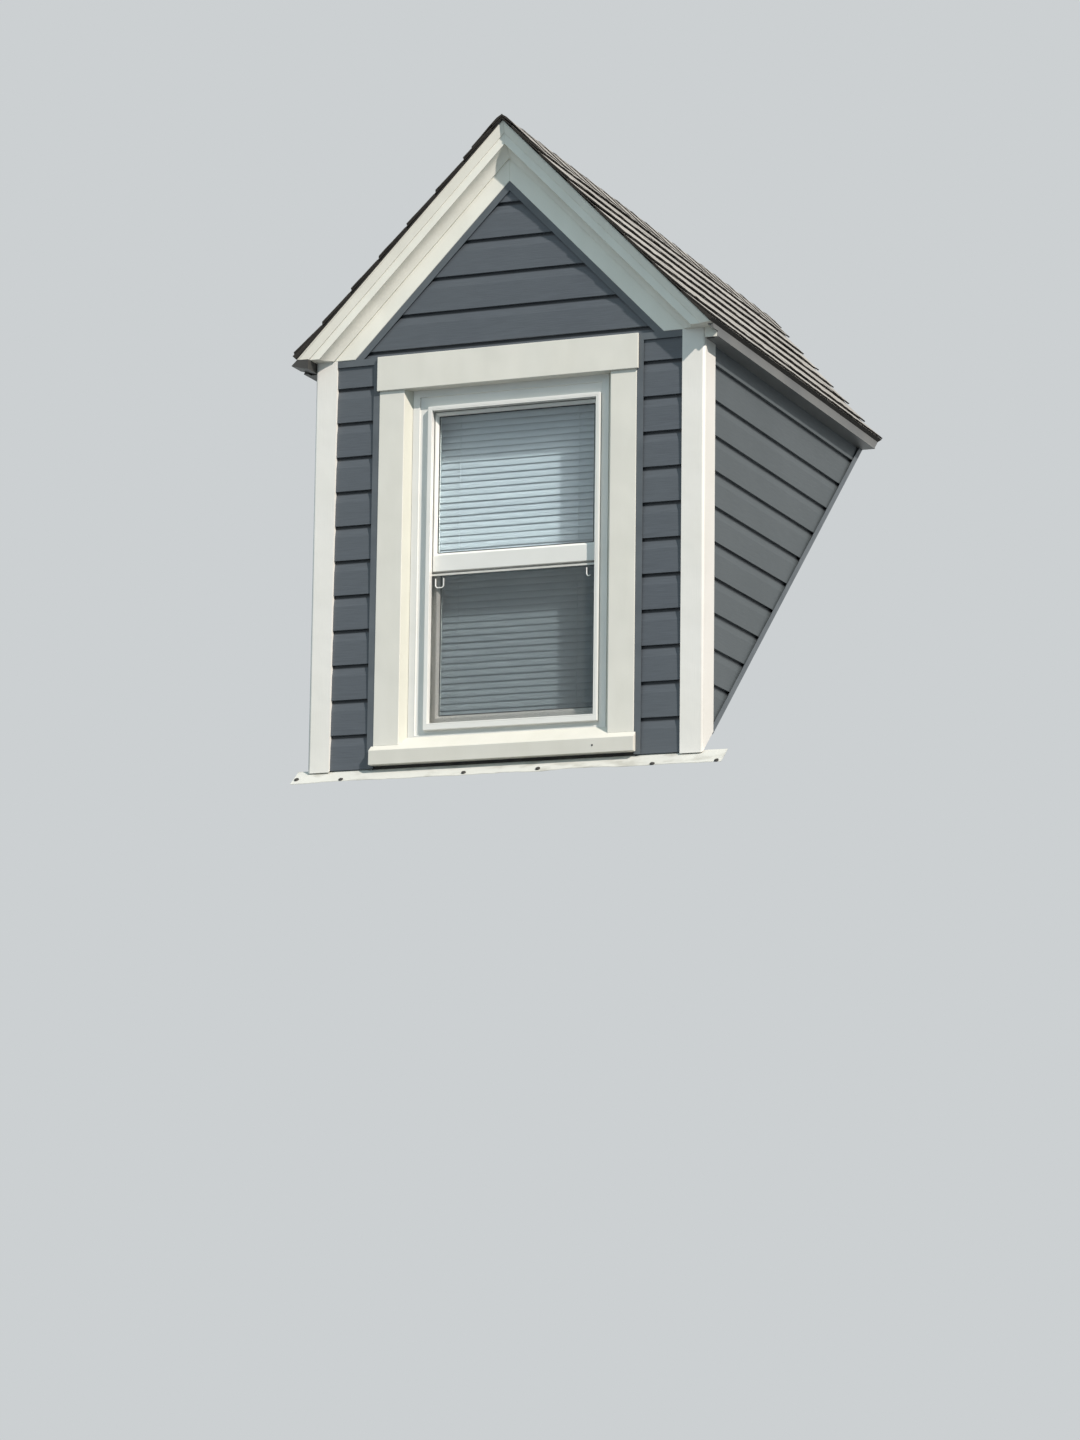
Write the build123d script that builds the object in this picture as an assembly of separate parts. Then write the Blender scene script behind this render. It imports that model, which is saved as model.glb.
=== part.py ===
from build123d import *
import math
import os

# Gabled roof dormer with one double-hung window, seated on a sloping main roof.
# X runs to the right, Y runs back into the main roof, Z is up.
# The origin lies on the main roof surface, in the middle of the dormer's front foot.
# Sizes are millimetres.

# Main roof slope, as rise over run
MAIN_RISE = 10.0
MAIN_RUN = 12.0

# Overall form
WIDTH = 1348.0
GABLE_PITCH = 45.7

# Wall layers, from the outside in
TRIM_DEPTH = 20.0
SHEATHING = 12.0
STUD_DEPTH = 89.0
STUD = 38.0
LINING = 13.0
STUD_SPACING = 406.0

# Roof layers, from the outside in
SHINGLE = 14.0
DECK = 12.0
RAFTER_DEPTH = 89.0
RIDGE_BOARD = 38.0
SHINGLE_EXPOSURE = 140.0
SHINGLE_STEP = 5.0
STARTER = 7.0
CAP_REACH = 150.0
CAP_LIFT = 3.0
CAP_STEP = 3.0

# Eaves along the cheeks
EAVE_BOTTOM = 1330.0
EAVE_OVERHANG = 60.0
EAVE_DRIP = 20.0
FASCIA_HEIGHT = 17.0
FASCIA = 12.0
SOFFIT = 6.0

# Rake boards on the gable
RAKE_LIFT = 33.0
FRIEZE_REACH = 143.0
COVE_BOTTOM = 91.0
COVE_TOP = 66.0
COVE_EDGE = 6.0
COVE_HOLLOW = 8.0
COVE_DEPTH = 58.0
BEVEL_DEPTH = 47.0
FILLET_REACH = 41.0
FILLET_DEPTH = 60.0
DRIP_LINE = 5.0
DRIP_STEP = 3.0
DECK_FRONT = 38.0
SHINGLE_PROUD = 11.0

# Corner posts
POST_FACE = 76.0
POST_SIDE = 97.0
POST_ROUND = 9.0
POST_GAP = 5.0

# Lap siding
COURSE = 114.3
COURSE_START = 14.9
LAP_BUTT = 13.0
LAP_SHOULDER = 11.0
LAP_ROOT = 4.0
LAP_FLAT = 78.0

# Receiving channels round the siding
CHANNEL_WALL = 2.0
CHANNEL_LIP = 22.0
CHANNEL_SETBACK = 2.0
CHANNEL_GAP = 0.5
CHANNEL_FOOT = 10.0

# Window casing
OPENING_WIDTH = 714.0
CASING = 88.0
HEAD_BOARD = 114.0
HEAD_EAR = 7.0
HEAD_PROUD = 8.0
SILL_PROUD = 20.0
SILL_BOTTOM = 23.0
SILL_NOSE = 46.0
SILL_PITCH = 40.0

# Window unit. It sits a little to the right in its opening.
UNIT_SHIFT = 16.0
FRAME_BOTTOM = 95.0
FRAME_LAP = 10.0
FRAME_SETBACK = 16.0
FRAME_DEPTH = 93.0
FRAME_HEAD_LAP = 13.0
BEAD_WIDTH = 10.0
BEAD_FOOT = 17.0
BEAD_PROUD = 16.0
BEAD_DEEP = 21.0
BEAD_SIDE = 59.0
BEAD_DROP = 59.0
BEAD_RISE = 37.0
POCKET = 12.0
SASH_THICK = 28.0
SASH_GAP = 1.0
SASH_MARGIN = 6.0
SASH_SHOWN = 12.0
SASH_BEVEL = 7.0
BOTTOM_RAIL = 30.0
RAIL_BOTTOM = 650.0
CHECK_RAIL = 60.0
GLASS = 6.0
GLASS_BITE = 8.0
SCREEN_THICK = 8.0
SCREEN_BAR = 12.0
SCREEN_TOP_BAR = 6.0
SCREEN_DROP = 8.0
MESH = 1.0
FIT = 0.3

# Blind and the lined reveal behind the window
JAMB_LINING = 13.0
SHIM_GAP = 10.0
BLIND_MARGIN = 5.0
SLAT_PITCH = 22.0
SLAT_WIDTH = 25.0
SLAT_THICK = 0.8
SLAT_TILT = 65.0
BLIND_RAIL = 25.0
BLIND_FOOT = 11.0
BLIND_PLAY = 1.0
LADDER = 2.0
LADDER_INSET = 143.0

# Apron flashing at the foot
APRON = 2.0
APRON_RUN = 58.0
APRON_UPSTAND = 55.0
APRON_LEFT_EAR = 41.0
APRON_RIGHT_EAR = 75.0

# Margin used to make cutting shapes longer than what they cut
SPARE = 400.0

# Planes worked out from the sizes above
MAIN_SLOPE = math.atan2(MAIN_RISE, MAIN_RUN)
GABLE = math.radians(GABLE_PITCH)
HALF = WIDTH / 2
SHEATH_X = HALF - TRIM_DEPTH
STUD_X = SHEATH_X - SHEATHING
ROOM_X = STUD_X - STUD_DEPTH
LINING_X = ROOM_X - LINING
SHEATH_Y = TRIM_DEPTH
STUD_Y = SHEATH_Y + SHEATHING
ROOM_Y = STUD_Y + STUD_DEPTH
LINING_Y = ROOM_Y + LINING
ROOF_EDGE_X = HALF + EAVE_OVERHANG
FASCIA_X = ROOF_EDGE_X - EAVE_DRIP
TAIL_X = FASCIA_X - FASCIA
TAIL_Z = EAVE_BOTTOM + SOFFIT
DECK_TOP = SHINGLE
DECK_UNDER = DECK_TOP + DECK
RAFTER_UNDER = DECK_UNDER + RAFTER_DEPTH
CEILING_UNDER = RAFTER_UNDER + LINING
EAVE_TOP = EAVE_BOTTOM + FASCIA_HEIGHT + DECK_UNDER / math.cos(GABLE)
RIDGE_HEIGHT = EAVE_TOP + FASCIA_X * math.tan(GABLE)
RIDGE_END = RIDGE_HEIGHT / math.tan(MAIN_SLOPE)
FAR = RIDGE_END + SPARE
RAKE_FOOT = EAVE_BOTTOM + RAKE_LIFT
RAKE_FRONT = -FILLET_DEPTH - DRIP_STEP
SHINGLE_FRONT = RAKE_FRONT - SHINGLE_PROUD
OPENING_HALF = OPENING_WIDTH / 2
CASING_X = OPENING_HALF + CASING
WINDOW_HEAD = RAKE_FOOT - HEAD_BOARD
FRAME_HALF = OPENING_HALF + FRAME_LAP
FRAME_HEAD = WINDOW_HEAD + FRAME_HEAD_LAP
ROUGH_HALF = FRAME_HALF + SHIM_GAP
ROUGH_HEAD = FRAME_HEAD + SHIM_GAP
FRAME_Y = SHEATH_Y + FRAME_SETBACK
FRAME_BACK = SHEATH_Y + FRAME_DEPTH
BEAD_Y = FRAME_Y - BEAD_PROUD
BEAD_BACK = BEAD_Y + BEAD_DEEP
BEAD_HALF = OPENING_HALF - BEAD_SIDE
BEAD_TOP = WINDOW_HEAD - BEAD_DROP
BEAD_BOTTOM = FRAME_BOTTOM + BEAD_RISE
SIGHT_HALF = BEAD_HALF - BEAD_WIDTH
SIGHT_TOP = BEAD_TOP - BEAD_WIDTH
SIGHT_BOTTOM = BEAD_BOTTOM + BEAD_FOOT
POCKET_HALF = SIGHT_HALF + POCKET
POCKET_TOP = SIGHT_TOP + POCKET
POCKET_BOTTOM = SIGHT_BOTTOM - POCKET
SASH_HALF = SIGHT_HALF - SASH_MARGIN
SASH_TOP = SIGHT_TOP - SASH_MARGIN
SASH_BOTTOM = SIGHT_BOTTOM + SASH_MARGIN
GLASS_HALF = SASH_HALF - SASH_SHOWN
GLASS_TOP = SASH_TOP - SASH_SHOWN
GLASS_BOTTOM = SASH_BOTTOM + BOTTOM_RAIL
RAIL_TOP = RAIL_BOTTOM + CHECK_RAIL
SCREEN_TOP = RAIL_BOTTOM - SCREEN_DROP
UPPER_SASH_Y = BEAD_BACK + SASH_GAP
LOWER_SASH_Y = UPPER_SASH_Y + SASH_THICK + SASH_GAP


def block(x0, x1, y0, y1, z0, z1):
    """A squared block between two corners."""
    centre = Pos((x0 + x1) / 2, (y0 + y1) / 2, (z0 + z1) / 2)
    return centre * Box(x1 - x0, y1 - y0, z1 - z0)


def along_y(outline, y0, y1):
    """A bar whose section is given in X and Z."""
    edge = Polyline(*[(x, y0, z) for x, z in outline], close=True)
    return extrude(make_face(edge), amount=y1 - y0, dir=(0, 1, 0))


def along_x(outline, x0, x1):
    """A bar whose section is given in Y and Z."""
    edge = Polyline(*[(x0, y, z) for y, z in outline], close=True)
    return extrude(make_face(edge), amount=x1 - x0, dir=(1, 0, 0))


def main_roof_z(y, lift=0.0):
    """Height of the main roof surface, lifted square to the slope."""
    return y * math.tan(MAIN_SLOPE) + lift / math.cos(MAIN_SLOPE)


def above_main_roof(piece, lift=0.0):
    """What is left of a piece above the main roof surface."""
    floor = main_roof_z(-SPARE, lift)
    wedge = along_x(
        [(-SPARE, floor), (FAR, main_roof_z(FAR, lift)), (FAR, FAR + SPARE), (-SPARE, FAR + SPARE)],
        -WIDTH, WIDTH)
    return piece & wedge


def slope_point(run, drop):
    """X and Z of a point on the right roof slope.

    run is measured down the slope from the ridge, drop square to it and downwards.
    """
    x = run * math.cos(GABLE) - drop * math.sin(GABLE)
    z = RIDGE_HEIGHT - run * math.sin(GABLE) - drop * math.cos(GABLE)
    return x, z


def slope_z(x, drop=0.0):
    """Height of the roof slope at a distance from the middle, a drop below its top."""
    return RIDGE_HEIGHT - abs(x) * math.tan(GABLE) - drop / math.cos(GABLE)


def slope_run_to(x, drop=0.0):
    """Run down the slope at which a line at this drop reaches a distance from the middle."""
    return (x + drop * math.sin(GABLE)) / math.cos(GABLE)


def down_slope(section, run0, run1):
    """A bar down the right slope. Its section is a list of corners or an outline, as drop and Y."""
    if isinstance(section, list):
        section = Polyline(*section, close=True)
    x, z = slope_point(run0, 0)
    across = Plane(origin=(x, 0, z), x_dir=(-math.sin(GABLE), 0, -math.cos(GABLE)),
                   z_dir=(math.cos(GABLE), 0, -math.sin(GABLE)))
    return extrude(across * make_face(section), amount=run1 - run0)


def right_side(piece, reach=WIDTH):
    """The part of a piece on the right of the middle, out to a plumb cut."""
    return piece & block(0, reach, -SPARE, FAR, -SPARE, RIDGE_HEIGHT + SPARE)


def over(piece, level):
    """The part of a piece above a level cut."""
    return piece & block(-WIDTH, WIDTH, -SPARE, FAR, level, RIDGE_HEIGHT + SPARE)


def mirrored(piece):
    """The same piece on the other side of the dormer."""
    return mirror(piece, about=Plane.YZ)


def lap_profile(low, high):
    """Outer line of the lap siding, as stand-off and height, from below low to above high."""
    first = math.floor((low - COURSE_START) / COURSE)
    last = math.ceil((high - COURSE_START) / COURSE)
    points = []
    for course in range(first, last):
        butt = COURSE_START + course * COURSE
        points.append((LAP_BUTT, butt))
        points.append((LAP_SHOULDER, butt + LAP_FLAT))
        points.append((LAP_ROOT, butt + COURSE))
    top = COURSE_START + last * COURSE
    bottom = COURSE_START + first * COURSE
    return [(0.0, bottom)] + points + [(0.0, top)]


def upstand(clearance=0.0):
    """The apron's leg up the front wall, behind what covers the wall."""
    reach = SHEATH_X + clearance
    top = main_roof_z(SHEATH_Y) + APRON_UPSTAND + clearance
    return block(-reach, reach, SHEATH_Y - APRON - clearance, SHEATH_Y, 0, top)


def make_apron():
    """Bent sheet, one leg lying on the main roof and the other up the front wall."""
    run = APRON_RUN * math.cos(MAIN_SLOPE)
    sheet = along_x(
        [(-run, main_roof_z(-run)), (SHEATH_Y, main_roof_z(SHEATH_Y)),
         (SHEATH_Y, main_roof_z(SHEATH_Y, APRON)), (-run, main_roof_z(-run, APRON))],
        -HALF - APRON_LEFT_EAR, HALF + APRON_RIGHT_EAR)
    return sheet + above_main_roof(upstand())


def make_front_frame():
    """Studs, header and wedge-cut foot plate of the front wall, with the gable over them."""
    king = ROUGH_HALF + STUD
    pieces = block(-STUD_X, STUD_X, STUD_Y, ROOM_Y, -SPARE, FRAME_BOTTOM)
    for side in (-1, 1):
        inner, outer = sorted((side * ROUGH_HALF, side * king))
        pieces += block(inner, outer, STUD_Y, ROOM_Y, -SPARE, RIDGE_HEIGHT)
        inner, outer = sorted((side * (STUD_X - STUD), side * STUD_X))
        pieces += block(inner, outer, STUD_Y, ROOM_Y, -SPARE, TAIL_Z)
        inner, outer = sorted((side * king, side * STUD_X))
        pieces += block(inner, outer, STUD_Y, ROOM_Y, TAIL_Z - STUD, TAIL_Z)
    pieces += block(-ROUGH_HALF, ROUGH_HALF, STUD_Y, ROOM_Y, ROUGH_HEAD, ROUGH_HEAD + STUD_DEPTH)
    pieces += block(-STUD / 2, STUD / 2, STUD_Y, ROOM_Y, ROUGH_HEAD, RIDGE_HEIGHT)
    gable = along_y(
        [(-STUD_X, -SPARE), (STUD_X, -SPARE), (STUD_X, slope_z(STUD_X, RAFTER_UNDER)),
         (0, slope_z(0, RAFTER_UNDER)), (-STUD_X, slope_z(STUD_X, RAFTER_UNDER))],
        STUD_Y, ROOM_Y)
    return above_main_roof(pieces & gable)


def make_cheek_frame():
    """Raking plate, studs and doubled top plate of one cheek wall."""
    plate_low = TAIL_Z - 2 * STUD
    pieces = block(ROOM_X, STUD_X, ROOM_Y, FAR, plate_low, TAIL_Z)
    pieces += along_x(
        [(ROOM_Y, main_roof_z(ROOM_Y)), (FAR, main_roof_z(FAR)),
         (FAR, main_roof_z(FAR, STUD)), (ROOM_Y, main_roof_z(ROOM_Y, STUD))],
        ROOM_X, STUD_X) & block(ROOM_X, STUD_X, ROOM_Y, FAR, -SPARE, TAIL_Z)
    start = ROOM_Y
    while main_roof_z(start + STUD) < plate_low:
        pieces += block(ROOM_X, STUD_X, start, start + STUD, main_roof_z(start), TAIL_Z)
        start += STUD_SPACING
    return above_main_roof(pieces)


def make_front_sheathing():
    """Board over the front wall and gable, with the window opening cut through it."""
    board = along_y(
        [(-SHEATH_X, -SPARE), (SHEATH_X, -SPARE), (SHEATH_X, slope_z(SHEATH_X, DECK_UNDER)),
         (0, slope_z(0, DECK_UNDER)), (-SHEATH_X, slope_z(SHEATH_X, DECK_UNDER))],
        SHEATH_Y, STUD_Y)
    hole = block(-FRAME_HALF - FIT, FRAME_HALF + FIT, 0, ROOM_Y, FRAME_BOTTOM, FRAME_HEAD + FIT)
    return above_main_roof(board - hole)


def make_cheek_sheathing():
    """Board on the outside of one cheek wall."""
    return above_main_roof(block(STUD_X, SHEATH_X, STUD_Y, FAR, -SPARE, TAIL_Z))


def make_front_lining():
    """Room-side board of the front wall, with the reveal cut through it."""
    board = along_y(
        [(-ROOM_X, -SPARE), (ROOM_X, -SPARE), (ROOM_X, slope_z(ROOM_X, RAFTER_UNDER)),
         (0, slope_z(0, RAFTER_UNDER)), (-ROOM_X, slope_z(ROOM_X, RAFTER_UNDER))],
        ROOM_Y, LINING_Y)
    hole = block(-FRAME_HALF, FRAME_HALF, 0, LINING_Y + SPARE, -SPARE, FRAME_HEAD)
    return above_main_roof(board - hole)


def make_cheek_lining():
    """Room-side board of one cheek wall."""
    board = along_y(
        [(LINING_X, -SPARE), (ROOM_X, -SPARE), (ROOM_X, slope_z(ROOM_X, RAFTER_UNDER)),
         (LINING_X, slope_z(LINING_X, RAFTER_UNDER))],
        LINING_Y, FAR)
    return above_main_roof(board)


def make_ceiling():
    """Board under the rafters of one slope."""
    board = down_slope(
        [(RAFTER_UNDER, LINING_Y), (RAFTER_UNDER, FAR), (CEILING_UNDER, FAR), (CEILING_UNDER, LINING_Y)],
        -SPARE, slope_run_to(LINING_X, CEILING_UNDER) + SPARE)
    return above_main_roof(right_side(board, LINING_X))


def make_ridge_board():
    """Board between the two sets of rafters."""
    half = RIDGE_BOARD / 2
    board = along_y(
        [(-half, slope_z(0, RAFTER_UNDER)), (half, slope_z(0, RAFTER_UNDER)),
         (half, slope_z(half, DECK_UNDER)), (0, slope_z(0, DECK_UNDER)), (-half, slope_z(half, DECK_UNDER))],
        STUD_Y, FAR)
    return above_main_roof(board)


def make_rafters():
    """The rafters of one slope, seated on the cheek wall's plate and cut to the main roof."""
    rafters = []
    start = STUD_Y
    while main_roof_z(start + STUD) < slope_z(RIDGE_BOARD, RAFTER_UNDER):
        beam = down_slope(
            [(DECK_UNDER, start), (DECK_UNDER, start + STUD), (RAFTER_UNDER, start + STUD),
             (RAFTER_UNDER, start)],
            -SPARE, slope_run_to(TAIL_X, RAFTER_UNDER) + SPARE)
        beam = beam & block(RIDGE_BOARD / 2, TAIL_X, -SPARE, FAR, TAIL_Z, RIDGE_HEIGHT)
        rafters.append(above_main_roof(beam))
        start += STUD_SPACING
    return Compound(children=[solid for rafter in rafters for solid in rafter.solids()])


def make_roof_deck():
    """Roof boards on one slope, cut to a feather edge along the valley."""
    deck = down_slope(
        [(DECK_TOP, -DECK_FRONT), (DECK_TOP, FAR), (DECK_UNDER, FAR), (DECK_UNDER, -DECK_FRONT)],
        -SPARE, slope_run_to(FASCIA_X, DECK_UNDER) + SPARE)
    return above_main_roof(right_side(deck, FASCIA_X))


def make_shingles():
    """Shingle courses of one slope, each stepped over the one below, the lowest on a starter."""
    run = slope_run_to(ROOF_EDGE_X)
    outline = [slope_point(run + SPARE, DECK_TOP), slope_point(run + SPARE, -STARTER)]
    butt = -STARTER
    while run > -SHINGLE_EXPOSURE:
        outline.append(slope_point(run, butt))
        run -= SHINGLE_EXPOSURE
        outline.append(slope_point(run, SHINGLE_STEP))
        butt = 0
    outline.append(slope_point(run, DECK_TOP))
    return above_main_roof(right_side(along_y(outline, SHINGLE_FRONT, FAR), ROOF_EDGE_X))


def make_ridge_caps():
    """Caps bent over the ridge, each lapping the one behind it."""
    start = SHINGLE_FRONT
    section = [(SHINGLE_STEP, start)]
    while start < RIDGE_END + SHINGLE_EXPOSURE:
        section.append((-CAP_LIFT, start))
        start += SHINGLE_EXPOSURE
        section.append((-CAP_LIFT + CAP_STEP, start))
    section.append((SHINGLE_STEP, start))
    cap = right_side(down_slope(section, -SPARE, CAP_REACH))
    cap = above_main_roof(cap) - make_shingles()
    return cap + mirrored(cap)


def make_frieze():
    """Flat board behind the crown of one rake, mitred at the ridge and cut level at the foot."""
    board = down_slope(
        [(DECK_UNDER, 0), (FRIEZE_REACH, 0), (FRIEZE_REACH, SHEATH_Y), (DECK_UNDER, SHEATH_Y)],
        -SPARE, slope_run_to(WIDTH, FRIEZE_REACH))
    return over(right_side(board, TAIL_X), RAKE_FOOT)


def make_crown():
    """Crown of one rake: cove, bevel and fillet, mitred at the ridge and cut level at the foot."""
    cove = SagittaArc((COVE_BOTTOM, -COVE_EDGE), (COVE_TOP, -COVE_DEPTH), COVE_HOLLOW)
    rest = Polyline(
        (COVE_TOP, -COVE_DEPTH), (FILLET_REACH, -BEVEL_DEPTH), (FILLET_REACH, -FILLET_DEPTH),
        (SHINGLE + DRIP_LINE, -FILLET_DEPTH), (SHINGLE + DRIP_LINE, RAKE_FRONT), (SHINGLE, RAKE_FRONT),
        (SHINGLE, -DECK_FRONT), (DECK_UNDER, -DECK_FRONT), (DECK_UNDER, 0), (COVE_BOTTOM, 0),
        (COVE_BOTTOM, -COVE_EDGE))
    bar = down_slope(cove + rest, -SPARE, slope_run_to(WIDTH, COVE_BOTTOM))
    return over(right_side(bar, FASCIA_X), RAKE_FOOT)


def make_fascia():
    """Eave board and soffit of one cheek, as one bent cladding."""
    top_in = slope_z(TAIL_X, DECK_UNDER)
    top_out = slope_z(FASCIA_X, DECK_UNDER)
    board = along_y(
        [(TAIL_X, EAVE_BOTTOM), (FASCIA_X, EAVE_BOTTOM), (FASCIA_X, top_out), (TAIL_X, top_in)], 0, FAR)
    soffit = block(SHEATH_X, TAIL_X, SHEATH_Y, FAR, EAVE_BOTTOM, TAIL_Z)
    return above_main_roof(board + soffit)


def make_gable_siding():
    """Lap siding in the gable, cut to fit inside the raking channels."""
    top = slope_z(0, FRIEZE_REACH + CHANNEL_WALL)
    outline = [(SHEATH_Y - out, z) for out, z in lap_profile(RAKE_FOOT, top)]
    siding = along_x(outline, -HALF, HALF)
    drop = FRIEZE_REACH + CHANNEL_WALL + CHANNEL_GAP
    reach = (RIDGE_HEIGHT - drop / math.cos(GABLE) - RAKE_FOOT) / math.tan(GABLE)
    shape = along_y([(-reach, RAKE_FOOT), (reach, RAKE_FOOT), (0, slope_z(0, drop))], 0, STUD_Y)
    return siding & shape


def make_front_siding():
    """Lap siding between the window channel and the corner post."""
    outline = [(SHEATH_Y - out, z) for out, z in lap_profile(0, RAKE_FOOT)]
    inner = CASING_X + CHANNEL_WALL + CHANNEL_GAP
    siding = along_x(outline, inner, HALF - POST_FACE)
    shape = block(0, HALF, 0, SHEATH_Y, -SPARE, RAKE_FOOT - CHANNEL_WALL - CHANNEL_GAP)
    return above_main_roof(siding & shape, APRON) - upstand(FIT)


def make_cheek_siding():
    """Lap siding on one cheek, a triangle cut to the main roof and the soffit."""
    outline = [(SHEATH_X + out, z) for out, z in lap_profile(0, EAVE_BOTTOM)]
    siding = along_y(outline, POST_SIDE, FAR)
    shape = block(0, WIDTH, 0, FAR, -SPARE, EAVE_BOTTOM)
    return above_main_roof(siding & shape, CHANNEL_WALL + CHANNEL_GAP)


def make_gable_channel():
    """Receiving channel under both rakes, mitred at the top."""
    face = CHANNEL_SETBACK
    section = [
        (FRIEZE_REACH, face), (FRIEZE_REACH + CHANNEL_LIP, face),
        (FRIEZE_REACH + CHANNEL_LIP, face + CHANNEL_WALL), (FRIEZE_REACH + CHANNEL_WALL, face + CHANNEL_WALL),
        (FRIEZE_REACH + CHANNEL_WALL, SHEATH_Y), (FRIEZE_REACH, SHEATH_Y)]
    bar = right_side(down_slope(section, -SPARE, slope_run_to(WIDTH, FRIEZE_REACH)))
    bar = over(bar, RAKE_FOOT)
    return bar + mirrored(bar)


def make_window_channel():
    """Receiving channels beside the casings, turning over the tops of the siding strips."""
    face = CHANNEL_SETBACK
    inner_x = CASING_X
    outer_x = HALF - POST_FACE
    top = RAKE_FOOT
    lip = block(inner_x, outer_x, face, face + CHANNEL_WALL, 0, top)
    lip -= block(inner_x + CHANNEL_LIP, outer_x, face, face + CHANNEL_WALL, 0, top - CHANNEL_LIP)
    wall = block(inner_x, inner_x + CHANNEL_WALL, face, SHEATH_Y, 0, top)
    wall += block(inner_x, outer_x, face, SHEATH_Y, top - CHANNEL_WALL, top)
    right = above_main_roof(lip + wall, CHANNEL_FOOT) - upstand(FIT)
    return Compound(children=[right.solid(), mirrored(right).solid()])


def make_slope_channel():
    """Receiving channel of one cheek, lying along the main roof."""
    face = HALF - CHANNEL_SETBACK
    lip = block(face - CHANNEL_WALL, face, POST_SIDE, FAR, -SPARE, EAVE_BOTTOM)
    wall = block(SHEATH_X, face, POST_SIDE, FAR, -SPARE, EAVE_BOTTOM)
    low = above_main_roof(lip) - above_main_roof(lip, CHANNEL_LIP)
    bed = above_main_roof(wall) - above_main_roof(wall, CHANNEL_WALL)
    return low + bed


def make_corner_post():
    """Corner post with a face on the front and one on the cheek."""
    front_leg = block(HALF - POST_FACE, HALF, 0, SHEATH_Y, -SPARE, RAKE_FOOT)
    side_leg = block(SHEATH_X, HALF, 0, POST_SIDE, -SPARE, EAVE_BOTTOM)
    post = front_leg + side_leg
    corner = post.edges().filter_by(Axis.Z).group_by(Axis.Y)[0].sort_by(Axis.X)[-1]
    post = fillet(corner, POST_ROUND)
    return above_main_roof(post, APRON + POST_GAP) - upstand(FIT)


def make_head_casing():
    """Board over the window, wider and prouder than the side casings, with a leg into the opening."""
    board = block(-CASING_X, CASING_X, -HEAD_PROUD, SHEATH_Y, WINDOW_HEAD, RAKE_FOOT)
    ears = block(-CASING_X - HEAD_EAR, CASING_X + HEAD_EAR, -HEAD_PROUD, 0, WINDOW_HEAD, RAKE_FOOT)
    leg = block(-FRAME_HALF, FRAME_HALF, SHEATH_Y, FRAME_Y, WINDOW_HEAD, FRAME_HEAD)
    return board + ears + leg


def sill_top(y):
    """Height of the sill's sloping top at a depth."""
    return SILL_BOTTOM + SILL_NOSE + (y + SILL_PROUD) * math.tan(math.radians(SILL_PITCH))


def make_casing():
    """Board on one side of the window, standing on the sill, with a leg that lines the opening."""
    board = along_x(
        [(0, sill_top(0)), (SHEATH_Y, sill_top(SHEATH_Y)), (SHEATH_Y, WINDOW_HEAD), (0, WINDOW_HEAD)],
        OPENING_HALF, CASING_X)
    leg = along_x(
        [(SHEATH_Y, sill_top(SHEATH_Y)), (FRAME_Y, sill_top(FRAME_Y)), (FRAME_Y, WINDOW_HEAD),
         (SHEATH_Y, WINDOW_HEAD)],
        OPENING_HALF, FRAME_HALF)
    return board + leg


def make_sill():
    """Sill with a plumb nose and a steep top, notched round the side channels."""
    section = [
        (-SILL_PROUD, SILL_BOTTOM), (SHEATH_Y, SILL_BOTTOM), (SHEATH_Y, sill_top(SHEATH_Y)),
        (-SILL_PROUD, sill_top(-SILL_PROUD))]
    heel = [
        (SHEATH_Y, FRAME_BOTTOM), (FRAME_Y, FRAME_BOTTOM), (FRAME_Y, sill_top(FRAME_Y)),
        (SHEATH_Y, sill_top(SHEATH_Y))]
    reach = CASING_X + HEAD_EAR
    sill = along_x(section, -reach, reach) + along_x(heel, -FRAME_HALF, FRAME_HALF)
    for side in (-1, 1):
        inner, outer = sorted((side * CASING_X, side * reach))
        sill -= block(inner, outer, 0, SHEATH_Y, 0, WINDOW_HEAD)
    return above_main_roof(sill, APRON) - upstand(FIT)


def ring(half, low, high, bar_side, bar_low, bar_high, y0, y1):
    """A rectangular ring of bars round an opening."""
    outer = block(-half, half, y0, y1, low, high)
    inner = block(-half + bar_side, half - bar_side, y0, y1, low + bar_low, high - bar_high)
    return outer - inner


def in_unit(piece):
    """A piece of the window unit, moved to where the unit sits in its opening."""
    return Pos(UNIT_SHIFT, 0, 0) * piece


def make_window_frame():
    """Frame of the window: a flat face set back in the opening, a proud bead, a pocket for the sashes."""
    face = block(-FRAME_HALF, FRAME_HALF, FRAME_Y, FRAME_BACK, FRAME_BOTTOM, FRAME_HEAD)
    bead = block(-BEAD_HALF, BEAD_HALF, BEAD_Y, FRAME_Y, BEAD_BOTTOM, BEAD_TOP)
    sight = block(-SIGHT_HALF, SIGHT_HALF, BEAD_Y, BEAD_BACK, SIGHT_BOTTOM, SIGHT_TOP)
    pocket = block(-POCKET_HALF, POCKET_HALF, BEAD_BACK, FRAME_BACK, POCKET_BOTTOM, POCKET_TOP)
    return face + in_unit(bead) - in_unit(sight + pocket)


def make_pane(low, high, y0, clearance=0.0):
    """Glass of one sash, let into its bars round the height that shows."""
    half = GLASS_HALF + GLASS_BITE + clearance
    bite = GLASS_BITE + clearance
    middle = y0 + SASH_THICK / 2
    deep = GLASS / 2 + clearance
    return block(-half, half, middle - deep, middle + deep, low - bite, high + bite)


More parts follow.
